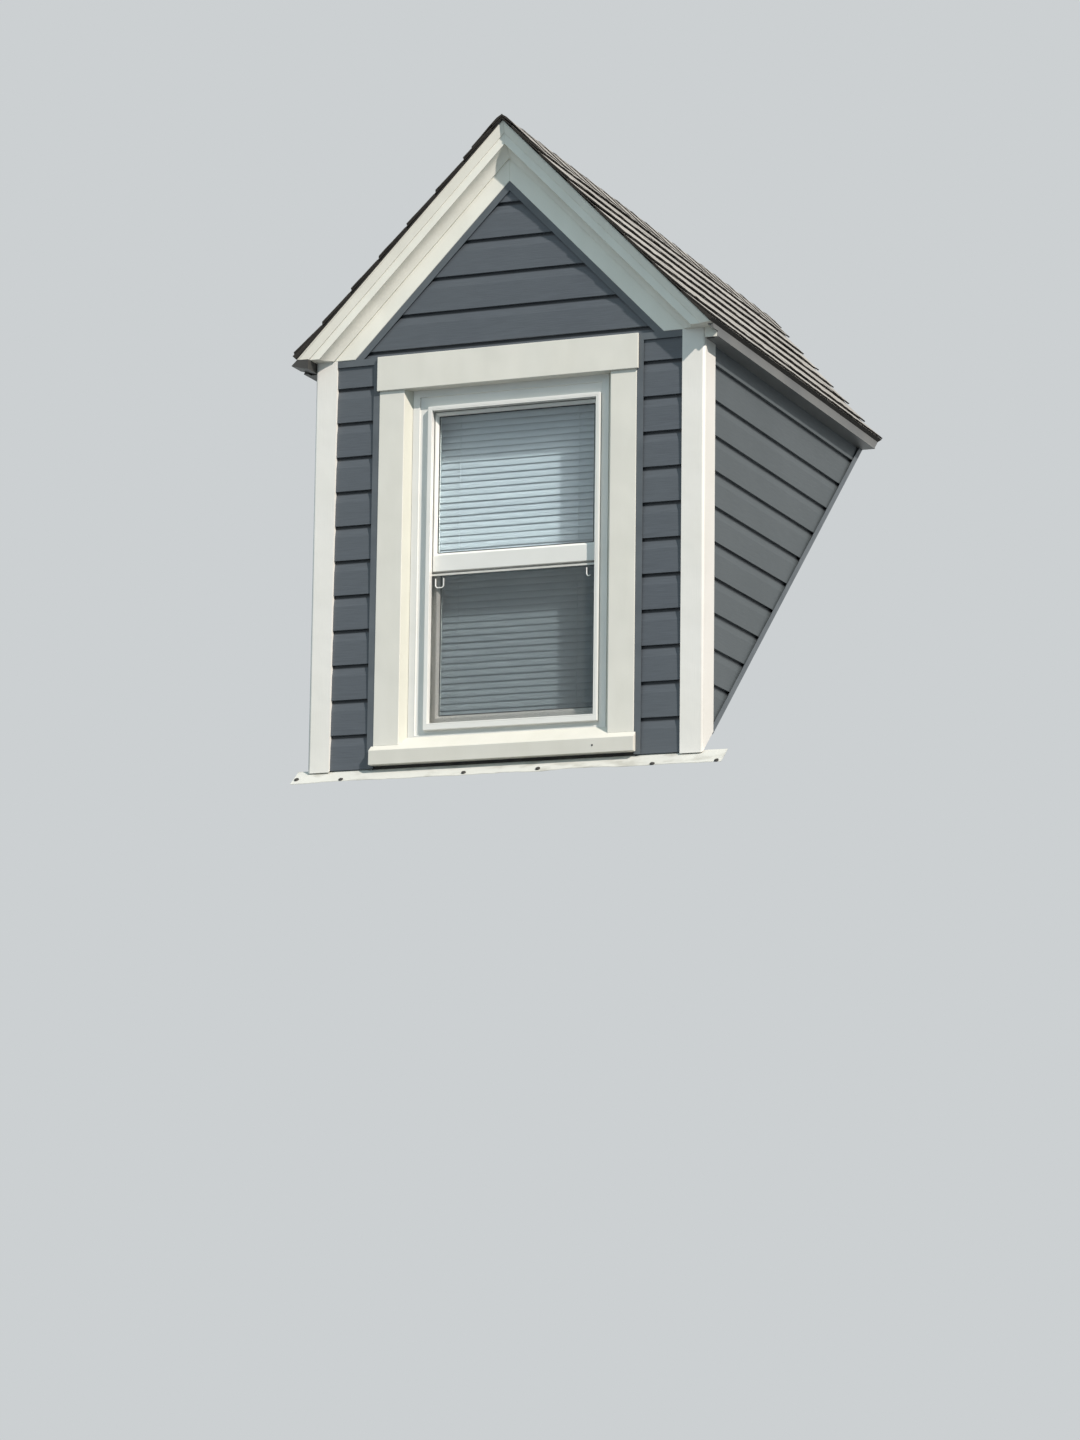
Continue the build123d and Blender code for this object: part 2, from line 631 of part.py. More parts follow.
def make_sash(low, high, glass_low, glass_high, y0, tongue_low, tongue_high):
    """One sash: stiles and rails bevelled down to the pane, grooved for it, with a tongue in the pocket."""
    sash = ring(SASH_HALF, low, high, SASH_SHOWN, glass_low - low, high - glass_high,
                y0, y0 + SASH_THICK)
    weather_side = sash.faces().sort_by(Axis.Y)[0]
    sash = chamfer(weather_side.inner_wires()[0].edges(), SASH_BEVEL)
    tongue_half = POCKET_HALF - FIT
    sash += ring(tongue_half, tongue_low, tongue_high, tongue_half - GLASS_HALF, glass_low - tongue_low,
                 tongue_high - glass_high, y0 + SASH_THICK / 2, y0 + SASH_THICK)
    return sash - make_pane(glass_low, glass_high, y0, FIT)


def make_upper_sash():
    """Upper sash, its foot rail the outer one of the two that meet."""
    return make_sash(RAIL_BOTTOM, SASH_TOP, RAIL_TOP, GLASS_TOP, UPPER_SASH_Y, RAIL_BOTTOM, POCKET_TOP - FIT)


def make_lower_sash():
    """Lower sash, sliding behind the upper one."""
    return make_sash(SASH_BOTTOM, RAIL_TOP, GLASS_BOTTOM, RAIL_BOTTOM, LOWER_SASH_Y, POCKET_BOTTOM, RAIL_TOP)


def make_screen_frame():
    """Bars of the half screen, slid in behind the bead in front of the lower sash."""
    return ring(POCKET_HALF - FIT, POCKET_BOTTOM, SCREEN_TOP, SCREEN_BAR, SCREEN_BAR, SCREEN_TOP_BAR,
                BEAD_BACK, BEAD_BACK + SCREEN_THICK)


def make_mesh():
    """Insect mesh of the half screen."""
    half = POCKET_HALF - FIT - SCREEN_BAR
    middle = BEAD_BACK + SCREEN_THICK / 2
    return block(-half, half, middle - MESH / 2, middle + MESH / 2,
                 POCKET_BOTTOM + SCREEN_BAR, SCREEN_TOP - SCREEN_TOP_BAR)


def make_jamb_lining():
    """Boards that line the reveal between the window frame and the room."""
    lining = ring(FRAME_HALF, FRAME_BOTTOM, FRAME_HEAD, JAMB_LINING, JAMB_LINING, JAMB_LINING,
                  FRAME_BACK, LINING_Y)
    return above_main_roof(lining)


def make_blind():
    """Slats of the blind on their ladder cords, with the head rail and bottom rail."""
    half = FRAME_HALF - JAMB_LINING - BLIND_MARGIN
    middle = (FRAME_BACK + LINING_Y) / 2
    front = FRAME_BACK + BLIND_PLAY
    back = LINING_Y - BLIND_PLAY
    top = FRAME_HEAD - JAMB_LINING
    low = FRAME_BOTTOM + JAMB_LINING + BLIND_MARGIN
    blind = block(-half, half, front, back, top - BLIND_RAIL, top)
    blind += block(-half, half, front, back, low, low + BLIND_FOOT)
    for cord in (-1, 1):
        x = cord * (half - LADDER_INSET)
        blind += block(x - LADDER / 2, x + LADDER / 2, middle - LADDER / 2, middle + LADDER / 2, low, top)
    slats = []
    height = low + BLIND_FOOT + SLAT_PITCH / 2
    while height < top - BLIND_RAIL - SLAT_PITCH / 2:
        slat = Box(2 * half, SLAT_WIDTH, SLAT_THICK)
        slats.append(Pos(0, middle, height) * Rot(X=SLAT_TILT) * slat)
        height += SLAT_PITCH
    return blind + slats


def build():
    """Every piece of the dormer, by name."""
    nodes = {
        "apron_flashing": make_apron(),
        "front_wall_frame": make_front_frame(),
        "front_sheathing": make_front_sheathing(),
        "front_lining": make_front_lining(),
        "ridge_board": make_ridge_board(),
        "ridge_caps": make_ridge_caps(),
        "gable_siding": make_gable_siding(),
        "gable_channel": make_gable_channel(),
        "window_channel": make_window_channel(),
        "head_casing": make_head_casing(),
        "window_sill": make_sill(),
        "window_frame": make_window_frame(),
        "upper_sash": in_unit(make_upper_sash()),
        "lower_sash": in_unit(make_lower_sash()),
        "upper_glass": in_unit(make_pane(RAIL_TOP, GLASS_TOP, UPPER_SASH_Y)),
        "lower_glass": in_unit(make_pane(GLASS_BOTTOM, RAIL_BOTTOM, LOWER_SASH_Y)),
        "screen_frame": in_unit(make_screen_frame()),
        "screen_mesh": in_unit(make_mesh()),
        "window_jamb_lining": make_jamb_lining(),
        "blind": make_blind(),
    }
    pairs = {
        "cheek_frame": make_cheek_frame(),
        "cheek_sheathing": make_cheek_sheathing(),
        "cheek_lining": make_cheek_lining(),
        "cheek_siding": make_cheek_siding(),
        "ceiling": make_ceiling(),
        "rafters": make_rafters(),
        "roof_deck": make_roof_deck(),
        "shingles": make_shingles(),
        "rake_frieze": make_frieze(),
        "rake_crown": make_crown(),
        "eave_fascia": make_fascia(),
        "front_siding": make_front_siding(),
        "slope_channel": make_slope_channel(),
        "corner_post": make_corner_post(),
        "side_casing": make_casing(),
    }
    for name, piece in pairs.items():
        nodes["right_" + name] = piece
        nodes["left_" + name] = mirrored(piece)
    return nodes


def main():
    os.makedirs("parts", exist_ok=True)
    for name, piece in build().items():
        export_step(piece, os.path.join("parts", name + ".step"))


main()
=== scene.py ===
"""Looks of the roof dormer: shingles, slate siding, white clad trim, and a screened window."""
import math
import random

import bmesh
import bpy
from mathutils import Matrix, Vector, noise


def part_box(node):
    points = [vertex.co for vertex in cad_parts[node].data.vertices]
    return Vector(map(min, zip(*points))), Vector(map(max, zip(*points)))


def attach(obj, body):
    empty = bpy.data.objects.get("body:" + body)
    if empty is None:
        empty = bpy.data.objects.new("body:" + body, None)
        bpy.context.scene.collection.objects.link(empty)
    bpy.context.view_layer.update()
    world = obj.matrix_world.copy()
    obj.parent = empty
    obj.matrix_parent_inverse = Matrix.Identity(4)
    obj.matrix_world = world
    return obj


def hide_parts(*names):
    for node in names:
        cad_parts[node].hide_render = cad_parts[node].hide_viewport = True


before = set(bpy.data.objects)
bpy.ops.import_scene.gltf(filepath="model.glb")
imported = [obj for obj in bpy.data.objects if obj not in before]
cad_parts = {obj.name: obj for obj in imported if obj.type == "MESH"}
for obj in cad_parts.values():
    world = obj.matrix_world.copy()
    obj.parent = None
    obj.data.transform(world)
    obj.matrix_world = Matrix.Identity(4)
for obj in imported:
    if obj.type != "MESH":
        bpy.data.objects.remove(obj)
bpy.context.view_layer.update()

# Slopes of the dormer's own roof and of the main roof under it
PITCH = math.radians(45.7)
COS, SIN = math.cos(PITCH), math.sin(PITCH)
MAIN_SLOPE = math.atan2(10, 12)
MAIN_RISE = math.tan(MAIN_SLOPE)

# Roof covering, in metres
SHINGLE_LAYERS = 0.014
EXPOSURE = 0.140
TAB = 0.305
LEAST_TAB = 0.02
SLOT = 0.007
TAB_THICK = 0.005
HEAD_THICK = 0.003
HEAD_LAP = 0.004
FELT = 0.0014
STARTER = 0.007
RIDGE_RUN = 0.03
RIDGE_GAP = 0.002

# Gap over the head of a course and over the starter, and room for curled tabs, in metres
HEAD_GAP, STARTER_GAP = 0.0004, 0.0005
CURL_ROOM = 0.004

# How far each lower layer of the roof stays behind the edge of the tabs, in metres
HEAD_BACK, STARTER_BACK, FELT_BACK = 0.001, 0.002, 0.004

# Wear of the tabs, in metres: curl and rise by side of the roof, what is off their butts, belly
CURL = {-1: 0.0010, 1: 0.0025}
RISE = {-1: 0.0010, 1: 0.0022}
TAB_SKEW = 0.006
TAB_WAVE = 0.005
TAB_CORNER = 0.006
TAB_BELLY = 0.0015
# Share of that curl and rise in the first course, which is stuck to its starter
FIRST_BEND = 0.15
# How far off the joints, the ends at the rake, the widths and the thicknesses may be, in metres
JOINT_OFF, RAKE_OFF, WIDTH_OFF = 0.02, 0.001, 0.002
THICK_OFF = (-0.001, 0.0005)

# Ridge caps, in metres
CAP_REACH = 0.150
CAP_LENGTH = EXPOSURE + 0.03
CAP_FOLD = 0.010
CAP_THICK = 0.0035
CAP_LIFT = 0.003
CAP_BULGE = 0.0012
CAP_ROOM = 0.0008
CAP_REACH_OFF, CAP_START_OFF = 0.004, 0.002

# Section of the rake crown, as drops square to the slope and depths in front of the wall, in metres
COVE_FOOT, COVE_LIP = 0.091, 0.006
COVE_HEAD, BEVEL_FOOT = 0.066, 0.046
COVE_HOLLOW = 0.008
FILLET_FOOT, BEVEL_HEAD = 0.041, 0.047
QUIRK = 0.0035
LIP_FOOT, FILLET_FACE = 0.019, 0.062
DECK_UNDER = 0.026
# Direction in which the cove is hollowed, square to its chord
COVE_BOW = (0.85, 0.53)
COVE_STEPS = 8
# Runs between which the crown is drawn, past both of its cut ends
CROWN_START, CROWN_END = -0.2, 1.3

# Bent sheet on the eaves, in metres
SHEET = 0.0012
KICK, KICK_RISE = 0.004, 0.007
EAVE_FACE = 0.0165
EAVE_DROP = 0.001

# Returns at the front ends of the eaves, in metres
RETURN_GAP = 0.0005
BOX_DROP, TIP_DROP = 0.009, 0.004
TIP_BACK = 0.0015
FOLD_WIDE = 0.018
FOLD_BACK = 0.0013
POST_ROUND = 0.008

# Blind, in metres, and the tilt of its slats with how far each may be off it, in radians
SLAT_WIDTH = 0.025
SLAT_PITCH = 0.022
SLAT_TILT, SLAT_SWING = math.radians(75), 0.03
SLAT_THICK = 0.0008
SLAT_CROWN = 0.0022
SLAT_SINK = 0.001
SLAT_DIP = 0.0006
HEAD_RAIL = 0.025
FOOT_RAIL = 0.011
RAIL_ROUND = 0.0015
CORD_X = 0.206
CORD_RADIUS = 0.0007
CORD_SWAY = 0.0006
LADDER_HALF = 0.0075

# Lap siding, in metres: its courses, and where the painted shade under each butt starts and is full
COURSE = 0.1143
COURSE_START = 0.0149
SHADE_START, SHADE_FULL = 0.014, 0.009

# Apron flashing, in metres
APRON_THICK = 0.002
APRON_RAGGED, APRON_SNIPS = 0.006, 0.0022
APRON_INSIDE = 0.0005
APRON_BUCKLE = 0.0020
# Share of its thickness that is drawn, so that it lies clear of the roof
APRON_DRAWN = 0.9

# Dark strip in the gap under the sill, painted shade, in metres: how far it stands out, and its
# heights
GAP_PROUD = 0.009
GAP_FOOT, GAP_FOOT_BACK, GAP_HEAD = 0.0115, 0.0175, 0.036

# Flange of the window frame with its lip, and the splay beside it, in metres
SPLAY = 0.018
SPLAY_FRONT = 0.0025
FLANGE = 0.024
FLANGE_PROUD = 0.004
FLANGE_BED = 0.001
LIP_WIDE, LIP_ROUND, LIP_RISE = 0.004, 0.001, 0.0012

# Stop inside the window's bead, in metres: half its width over all, its foot, head and section
STOP_HALF = 0.288
STOP_LOW, STOP_HIGH = 0.149, 1.180
STOP_WIDE, STOP_DEEP, STOP_ROUND = 0.0045, 0.0205, 0.001

# Glazing seals, in metres
SEAL_INSET, SEAL_WIDE, SEAL_PROUD = 0.008, 0.0035, 0.002
SEAL_THIN = SEAL_PROUD * 0.4

# Insect mesh and the pull tabs of its screen, in metres, the tabs as places across and up
MESH_SAG = 0.0006
MESH_PITCH = 0.0028
PULL_WIRE, PULL_PROUD = 0.0022, 0.0005
PULL_LOOP = [(-0.254, 0.626), (-0.254, 0.602), (-0.251, 0.598), (-0.247, 0.596),
             (-0.233, 0.596), (-0.229, 0.598), (-0.226, 0.602), (-0.226, 0.626)]
PULL_HOOK = [(0.266, 0.628), (0.266, 0.607), (0.269, 0.602), (0.274, 0.600), (0.280, 0.603)]

# Nails, in metres: the apron's as places across and back, and one in the nose of the sill
APRON_NAILS = [(-0.701, -0.019), (-0.540, -0.030), (-0.115, -0.028),
               (0.137, -0.028), (0.522, -0.034), (0.733, -0.034)]
APRON_NAIL_RADIUS, APRON_NAIL_LIFT = 0.0085, 0.0045
SILL_NAIL_X, SILL_NAIL_Z = 0.3145, 0.047
SILL_NAIL_RADIUS = 0.0035
# Reach of a nail head's lobes, and the width and rise of its rings, as shares of its radius
NAIL_SIDES = 12
NAIL_LOBES = (0.82, 1.0)
NAIL_RINGS = ((1.0, -0.1), (0.97, 0.22), (0.66, 0.38), (0.27, 0.44))

# Width of the rounding on edges, in metres
CROWN_EASE = 0.0012
TRIM_EASE = 0.0015
WELD_REACH = 0.00001

# Where the lamp stands and where the room glows most, as directions, and how strong the room is
LAMP_FROM = (0.668, -0.418, 0.616)
GLOW_FROM = (-0.25, -0.70, 0.67)
ROOM_DIM, ROOM_BRIGHT = 0.20, 0.75

DECK_LOW, DECK_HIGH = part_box("right_roof_deck")
SHINGLE_LOW, SHINGLE_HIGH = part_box("right_shingles")
RIDGE = DECK_HIGH.z + SHINGLE_LAYERS / COS
RAKE_Y = SHINGLE_LOW.y
EAVE_X = SHINGLE_HIGH.x


def linear(colour):
    """An sRGB hex colour as linear light."""
    parts = [int(colour[i:i + 2], 16) / 255 for i in (1, 3, 5)]
    light = [((p + 0.055) / 1.055) ** 2.4 if p > 0.04045 else p / 12.92 for p in parts]
    return (*light, 1.0)


def add(tree, kind, inputs=None, **settings):
    """A node with its settings. An input is a value, or another node's socket to link."""
    node = tree.nodes.new("ShaderNode" + kind)
    for name, value in settings.items():
        setattr(node, name, value)
    for name, value in (inputs or {}).items():
        if isinstance(value, bpy.types.NodeSocket):
            tree.links.new(value, node.inputs[name])
        else:
            node.inputs[name].default_value = value
    return node


def new_finish(name):
    """An empty material, its tree, and the place on the dormer in metres."""
    material = bpy.data.materials.new(name)
    material.use_nodes = True
    tree = material.node_tree
    tree.nodes.clear()
    place = add(tree, "TexCoord").outputs["Object"]
    return material, tree, place


def blotch(tree, place, per_metre, stretch=(1, 1, 1), detail=3.0):
    """Uneven tone from 0 to 1, with about that many patches to the metre.

    A larger number in stretch makes the patches that much narrower along its axis.
    """
    scaled = add(tree, "Mapping", {"Vector": place, "Scale": stretch}).outputs[0]
    inputs = {"Vector": scaled, "Scale": per_metre, "Detail": detail}
    return add(tree, "TexNoise", inputs).outputs[0]


def between(tree, share, low, high, start=0.3, end=0.7):
    """A value that goes from low to high as share goes from start to end.

    Without them it takes 0.3 to 0.7, the usual reach of noise.
    """
    return add(tree, "MapRange", {0: share, 1: start, 2: end, 3: low, 4: high}).outputs[0]


def reckon(tree, operation, *values):
    """The result of one Math node on the values."""
    return add(tree, "Math", dict(enumerate(values)), operation=operation).outputs[0]


def tint(tree, share, dark, light):
    """A colour between two, by share."""
    return add(tree, "Mix", {0: share, 6: dark, 7: light}, data_type="RGBA").outputs[2]


def relief(tree, height, depth, base=None):
    """Bumps of that depth in metres, over those of another bump if given."""
    inputs = {"Height": height, "Distance": depth, "Strength": 1.0}
    if base is not None:
        inputs["Normal"] = base
    return add(tree, "Bump", inputs).outputs[0]


def surface(tree, shader):
    """Sends the shader to the material's surface."""
    add(tree, "OutputMaterial", {"Surface": shader.outputs[0]})


def coat(material, tree, inputs):
    """Ends a finish with the shader that has those inputs."""
    surface(tree, add(tree, "BsdfPrincipled", inputs))
    return material


def mottled(name, per_metre, clean, other, share, depth, shader_inputs, detail=3.0):
    """A finish of one tone with patches of another, which raise its surface by depth, if any."""
    material, tree, place = new_finish(name)
    patch = blotch(tree, place, per_metre, detail=detail)
    body = tint(tree, between(tree, patch, 0.0, share), linear(clean), linear(other))
    bump = {"Normal": relief(tree, patch, depth)} if depth else {}
    return coat(material, tree, {"Base Color": body, **shader_inputs, **bump})


def granule_shingle():
    """Three-tab asphalt shingle, fibreglass mat dusted with crushed stone granules.

    The stone gives a dry, speckled grey with no shine, each tab of its own tone, streaked by rain.
    """
    material, tree, place = new_finish("granule_asphalt_shingle")
    tab = add(tree, "NewGeometry").outputs["Random Per Island"]
    body = tint(tree, tab, linear("#9c9995"), linear("#b9b6b1"))
    # granules are 1 to 2 mm across, drawn 4 mm wide so that they show
    speck = blotch(tree, place, 250, detail=2.0)
    speckled = tint(tree, between(tree, speck, 0.0, 1.0), linear("#7f7d7a"), linear("#c9c6c1"))
    body = tint(tree, 0.42, body, speckled)
    # rain streaks run down the slope, about 60 mm wide
    streak = blotch(tree, place, 4, stretch=(1, 4, 1))
    body = tint(tree, between(tree, streak, 0.0, 0.35), body, linear("#928f88"))
    bump = relief(tree, speck, 0.0012)
    return coat(material, tree, {"Base Color": body, "Roughness": 0.95, "Normal": bump})


def shingle_mat():
    """Cut edge and back of a shingle, fibreglass mat soaked in asphalt.

    It leaves a dull brown-black line at each butt.
    """
    return mottled("asphalt_soaked_mat", 180, "#1f1d1c", "#38342f", 1.0, 0.0008,
                   {"Roughness": 0.95})


def roofing_felt():
    """Asphalt-soaked felt under the shingles, rolled: near black and dull, a line at each edge."""
    return mottled("asphalt_felt", 40, "#2a2a29", "#3b3a38", 1.0, 0.0006, {"Roughness": 0.9})


def slate_siding(name, along, dark, light):
    """Extruded vinyl lap siding in slate grey, embossed with a wood grain while hot.

    The emboss breaks up the low sheen into fine lines along each board.
    """
    material, tree, place = new_finish(name)
    # grain lines are about 3 mm apart and 70 mm long, drawn along the board
    stretch = (1, 25, 25) if along == "x" else (25, 1, 25)
    grain = blotch(tree, place, 14, stretch=stretch, detail=4.0)
    cloud = blotch(tree, place, 3)
    body = tint(tree, between(tree, grain, 0.0, 1.0), linear(dark), linear(light))
    body = tint(tree, between(tree, cloud, 0.0, 0.3), body, linear("#5b6266"))
    # painted shade darkens the top of each course, under the butt of the one above
    height = add(tree, "SeparateXYZ", {0: place}).outputs["Z"]
    first = {0: height, 1: COURSE_START, 2: COURSE_START + COURSE, 3: 0.0, 4: 1.0}
    courses = add(tree, "MapRange", first, clamp=False).outputs[0]
    painted_butt_shade = between(tree, reckon(tree, "FRACT", courses), 0.0, 0.85,
                        1 - SHADE_START / COURSE, 1 - SHADE_FULL / COURSE)
    body = tint(tree, painted_butt_shade, body, linear("#22262b"))
    bump = relief(tree, grain, 0.0005, base=relief(tree, cloud, 0.004))
    return coat(material, tree, {"Base Color": body, "Roughness": between(tree, grain, 0.42, 0.58),
                                 "IOR": 1.54, "Normal": bump})


def slate_channel():
    """Extruded vinyl receiving channel, slate grey.

    It is smooth, with a satin edge highlight and road dust.
    """
    return mottled("slate_vinyl_channel", 9, "#50575d", "#6c7378", 0.5, 0.0015,
                   {"Roughness": 0.42, "IOR": 1.54})


def clad_trim(name, clean, grimy):
    """White coil aluminium bent on a brake over boards, PVC-coated.

    Thin sheet never lies dead flat, so its satin white shows long shallow dents and faint grime.
    """
    material, tree, place = new_finish(name)
    dent = blotch(tree, place, 5, detail=1.5)
    grime = blotch(tree, place, 16, stretch=(1, 1, 0.35), detail=5.0)
    body = tint(tree, between(tree, grime, 0.0, 0.5), linear(clean), linear(grimy))
    return coat(material, tree, {"Base Color": body, "Roughness": 0.46,
                                 "Normal": relief(tree, dent, 0.006)})


def post_vinyl():
    """White vinyl corner post, extruded with a faint matt emboss that softens the glare."""
    material, tree, place = new_finish("white_vinyl_post")
    # emboss lines are about 4 mm apart and run up the post
    grain = blotch(tree, place, 14, stretch=(18, 18, 1), detail=3.0)
    cloud = blotch(tree, place, 4)
    body = tint(tree, between(tree, cloud, 0.0, 0.6), linear("#eeece7"), linear("#e5e3db"))
    bump = relief(tree, grain, 0.0003, base=relief(tree, cloud, 0.005))
    return coat(material, tree, {"Base Color": body, "Roughness": 0.5, "IOR": 1.54,
                                 "Normal": bump})


def window_vinyl():
    """White window vinyl, extruded and welded at the corners: clean, bright, a little glossy."""
    return mottled("white_window_vinyl", 8, "#e9e9e5", "#dcdcd6", 0.4, 0.001,
                   {"Roughness": 0.32, "IOR": 1.54})


def eave_cladding(name, dark, light):
    """Grey-painted coil aluminium on the eave, bent on a brake: satin, with shallow dents."""
    return mottled(name, 6, dark, light, 1.0, 0.004, {"Roughness": 0.48}, detail=1.5)


def flashing_sheet():
    """White-painted aluminium flashing, cut with snips and nailed: buckled, scuffed and dusty."""
    material, tree, place = new_finish("white_painted_flashing")
    buckle = blotch(tree, place, 12, detail=2.0)
    dirt = blotch(tree, place, 30, stretch=(0.5, 1, 1), detail=6.0)
    body = tint(tree, between(tree, dirt, 0.0, 0.6, 0.5, 0.72), linear("#cfcfc9"),
                linear("#9f9d93"))
    return coat(material, tree, {"Base Color": body, "Roughness": 0.5,
                                 "Normal": relief(tree, buckle, 0.004)})


def clear_pane():
    """Float glass: flat, clear and faintly blue-green, with a mirror-like face.

    Light passes through it to the blind.
    """
    material, tree, _ = new_finish("float_glass")
    glass = add(tree, "BsdfPrincipled", {"Base Color": linear("#eef6f7"), "Roughness": 0.0,
                                         "IOR": 1.5, "Transmission Weight": 1.0})
    clear = add(tree, "BsdfTransparent", {"Color": linear("#eef4f5")})
    shadow = add(tree, "LightPath").outputs["Is Shadow Ray"]
    surface(tree, add(tree, "MixShader", {0: shadow, 1: glass.outputs[0], 2: clear.outputs[0]}))
    return material


def insect_mesh():
    """Charcoal fibreglass insect mesh, woven and vinyl-coated: a dark veil over the lower pane."""
    material, tree, place = new_finish("charcoal_insect_mesh")
    # strands are 1.4 mm apart, drawn 2.8 mm apart so that the weave shows,
    # and cover a quarter each way
    parts = add(tree, "SeparateXYZ", {0: place})
    strands = []
    for axis in ("X", "Z"):
        turns = reckon(tree, "DIVIDE", parts.outputs[axis], MESH_PITCH)
        strands.append(reckon(tree, "LESS_THAN", reckon(tree, "FRACT", turns), 0.26))
    cover = reckon(tree, "MAXIMUM", *strands)
    thread = blotch(tree, place, 300)
    body = tint(tree, between(tree, thread, 0.0, 1.0), linear("#3f4445"), linear("#575b5b"))
    return coat(material, tree, {"Base Color": body, "Roughness": 0.6, "Alpha": cover})


def screen_bar():
    """Roll-formed aluminium screen frame, painted white: satin, a thin light line by the mesh."""
    return mottled("painted_screen_bar", 60, "#d8d8d2", "#bdbdb6", 0.5, 0.0004,
                   {"Roughness": 0.4})


def blind_slat():
    """Roll-formed aluminium slats, enamelled white: thin, crowned and softly shining.

    Their white is darkened to a cool pale grey, painted shade of the room behind the glass, each
    slat to its own.
    """
    material, tree, place = new_finish("white_slat_painted_shade")
    slat = add(tree, "NewGeometry").outputs["Random Per Island"]
    body = tint(tree, slat, linear("#afb6bf"), linear("#b9c0c8"))
    haze = blotch(tree, place, 25)
    return coat(material, tree, {"Base Color": body, "Roughness": between(tree, haze, 0.35, 0.5)})


def softwood():
    """Planed spruce framing, sawn along the log: pale yellow with darker lines of late wood."""
    material, tree, place = new_finish("planed_spruce")
    drift = blotch(tree, place, 3, stretch=(1, 1, 0.15))
    # year rings are about 4 mm apart, drawn 14 mm apart so that they show
    rings = add(tree, "TexWave", {"Vector": place, "Scale": 22.0, "Distortion": 5.0, "Detail": 2.0,
                                  "Detail Scale": 0.8}, bands_direction="Y").outputs["Fac"]
    body = tint(tree, rings, linear("#b98f5c"), linear("#d9bb8b"))
    body = tint(tree, between(tree, drift, 0.0, 0.4), body, linear("#c9a06b"))
    return coat(material, tree, {"Base Color": body, "Roughness": 0.65,
                                 "Normal": relief(tree, rings, 0.0003)})


def strand_board():
    """Oriented strand board, flakes of aspen pressed with resin: a patchwork of tan chips."""
    material, tree, place = new_finish("pressed_strand_board")
    # flakes are about 90 mm long and 30 mm wide
    laid = add(tree, "Mapping", {"Vector": place, "Scale": (11, 30, 30),
                                 "Rotation": (0.2, 0.4, 0.3)}).outputs[0]
    flake = add(tree, "TexVoronoi", {"Vector": laid, "Scale": 1.0, "Randomness": 1.0})
    shade = add(tree, "SeparateColor", {0: flake.outputs["Color"]}).outputs[0]
    body = tint(tree, shade, linear("#a97f48"), linear("#d8b578"))
    return coat(material, tree, {"Base Color": body, "Roughness": 0.75,
                                 "Normal": relief(tree, flake.outputs["Distance"], 0.0006)})


def painted_board(name, colour, worn):
    """Plaster board or joinery board, rolled with flat paint: even, with a fine orange peel."""
    material, tree, place = new_finish(name)
    # paint peel is about 3 mm across
    peel = blotch(tree, place, 330, detail=2.0)
    cloud = blotch(tree, place, 3)
    body = tint(tree, between(tree, cloud, 0.0, 0.6), linear(colour), linear(worn))
    return coat(material, tree, {"Base Color": body, "Roughness": 0.7,
                                 "Normal": relief(tree, peel, 0.0002)})


def dabbed_nail():
    """Roofing nail head under a dab of asphalt cement, wiped on: a dull black lump."""
    return mottled("asphalt_roof_cement", 400, "#242322", "#3d3b38", 1.0, 0.0004,
                   {"Roughness": 0.6})


def seal_rubber():
    """Extruded rubber glazing seal: matt near-black, a thin dark line round each pane."""
    return mottled("black_glazing_seal", 80, "#2b2d2e", "#44474a", 1.0, None, {"Roughness": 0.7})


def uneven(*place):
    """Smooth noise from about -1 to 1, which changes over about one unit of the place given."""
    return noise.noise(Vector(place))


def part_way(ends, share):
    """A value between two ends, by share."""
    return ends[0] * (1 - share) + ends[1] * share


def backed(face, square, thick):
    """The under side of a sheet with that face, thick below it, measured along square."""
    return lambda *shares: face(*shares) - square * thick


def slab(mesh, rows, columns, upper, under):
    """A closed sheet between an upper and an under side, each a point for two shares from 0 to 1.

    Its rim and under side take the second finish of the piece, if it has one.
    """
    sides = []
    for side in (upper, under):
        sides.append([[mesh.verts.new(side(i / rows, j / columns)) for j in range(columns + 1)]
                      for i in range(rows + 1)])
    top, low = sides
    for i in range(rows):
        for j in range(columns):
            mesh.faces.new((top[i][j], top[i][j + 1], top[i + 1][j + 1], top[i + 1][j]))
            face = mesh.faces.new((low[i][j], low[i + 1][j], low[i + 1][j + 1], low[i][j + 1]))
            face.material_index = 1
    rim = [(0, j) for j in range(columns)] + [(i, columns) for i in range(rows)]
    rim += [(rows, j) for j in range(columns, 0, -1)] + [(i, 0) for i in range(rows, 0, -1)]
    for (i, j), (m, n) in zip(rim, rim[1:] + rim[:1]):
        mesh.faces.new((top[i][j], low[i][j], low[m][n], top[m][n])).material_index = 1


def link_rings(mesh, rings):
    """Faces between each ring of points and the next."""
    for ring, follower in zip(rings, rings[1:]):
        count = len(ring)
        for k in range(count):
            m = (k + 1) % count
            mesh.faces.new((ring[k], ring[m], follower[m], follower[k]))


def bar(mesh, section, start, end):
    """A closed bar whose section is given as points, each turned into place by start and by end."""
    rings = [[mesh.verts.new(place(*point)) for point in section] for place in (start, end)]
    link_rings(mesh, rings)
    mesh.faces.new(rings[0][::-1])
    mesh.faces.new(rings[1])


def run_back(mesh, section, side, front, back):
    """A bar on one side of the dormer, with its section across and up, from front to back."""
    bar(mesh, section, lambda x, z: Vector((side * x, front, z)),
        lambda x, z: Vector((side * x, back, z)))


def cut_off(mesh, place, away):
    """Takes off what lies beyond a plane, on the side that away points to, and closes the cut."""
    everything = mesh.verts[:] + mesh.edges[:] + mesh.faces[:]
    cut = bmesh.ops.bisect_plane(mesh, geom=everything, plane_co=place, plane_no=away,
                                 clear_outer=True)
    rims = [part for part in cut["geom_cut"] if isinstance(part, bmesh.types.BMEdge)]
    bmesh.ops.holes_fill(mesh, edges=rims, sides=0)


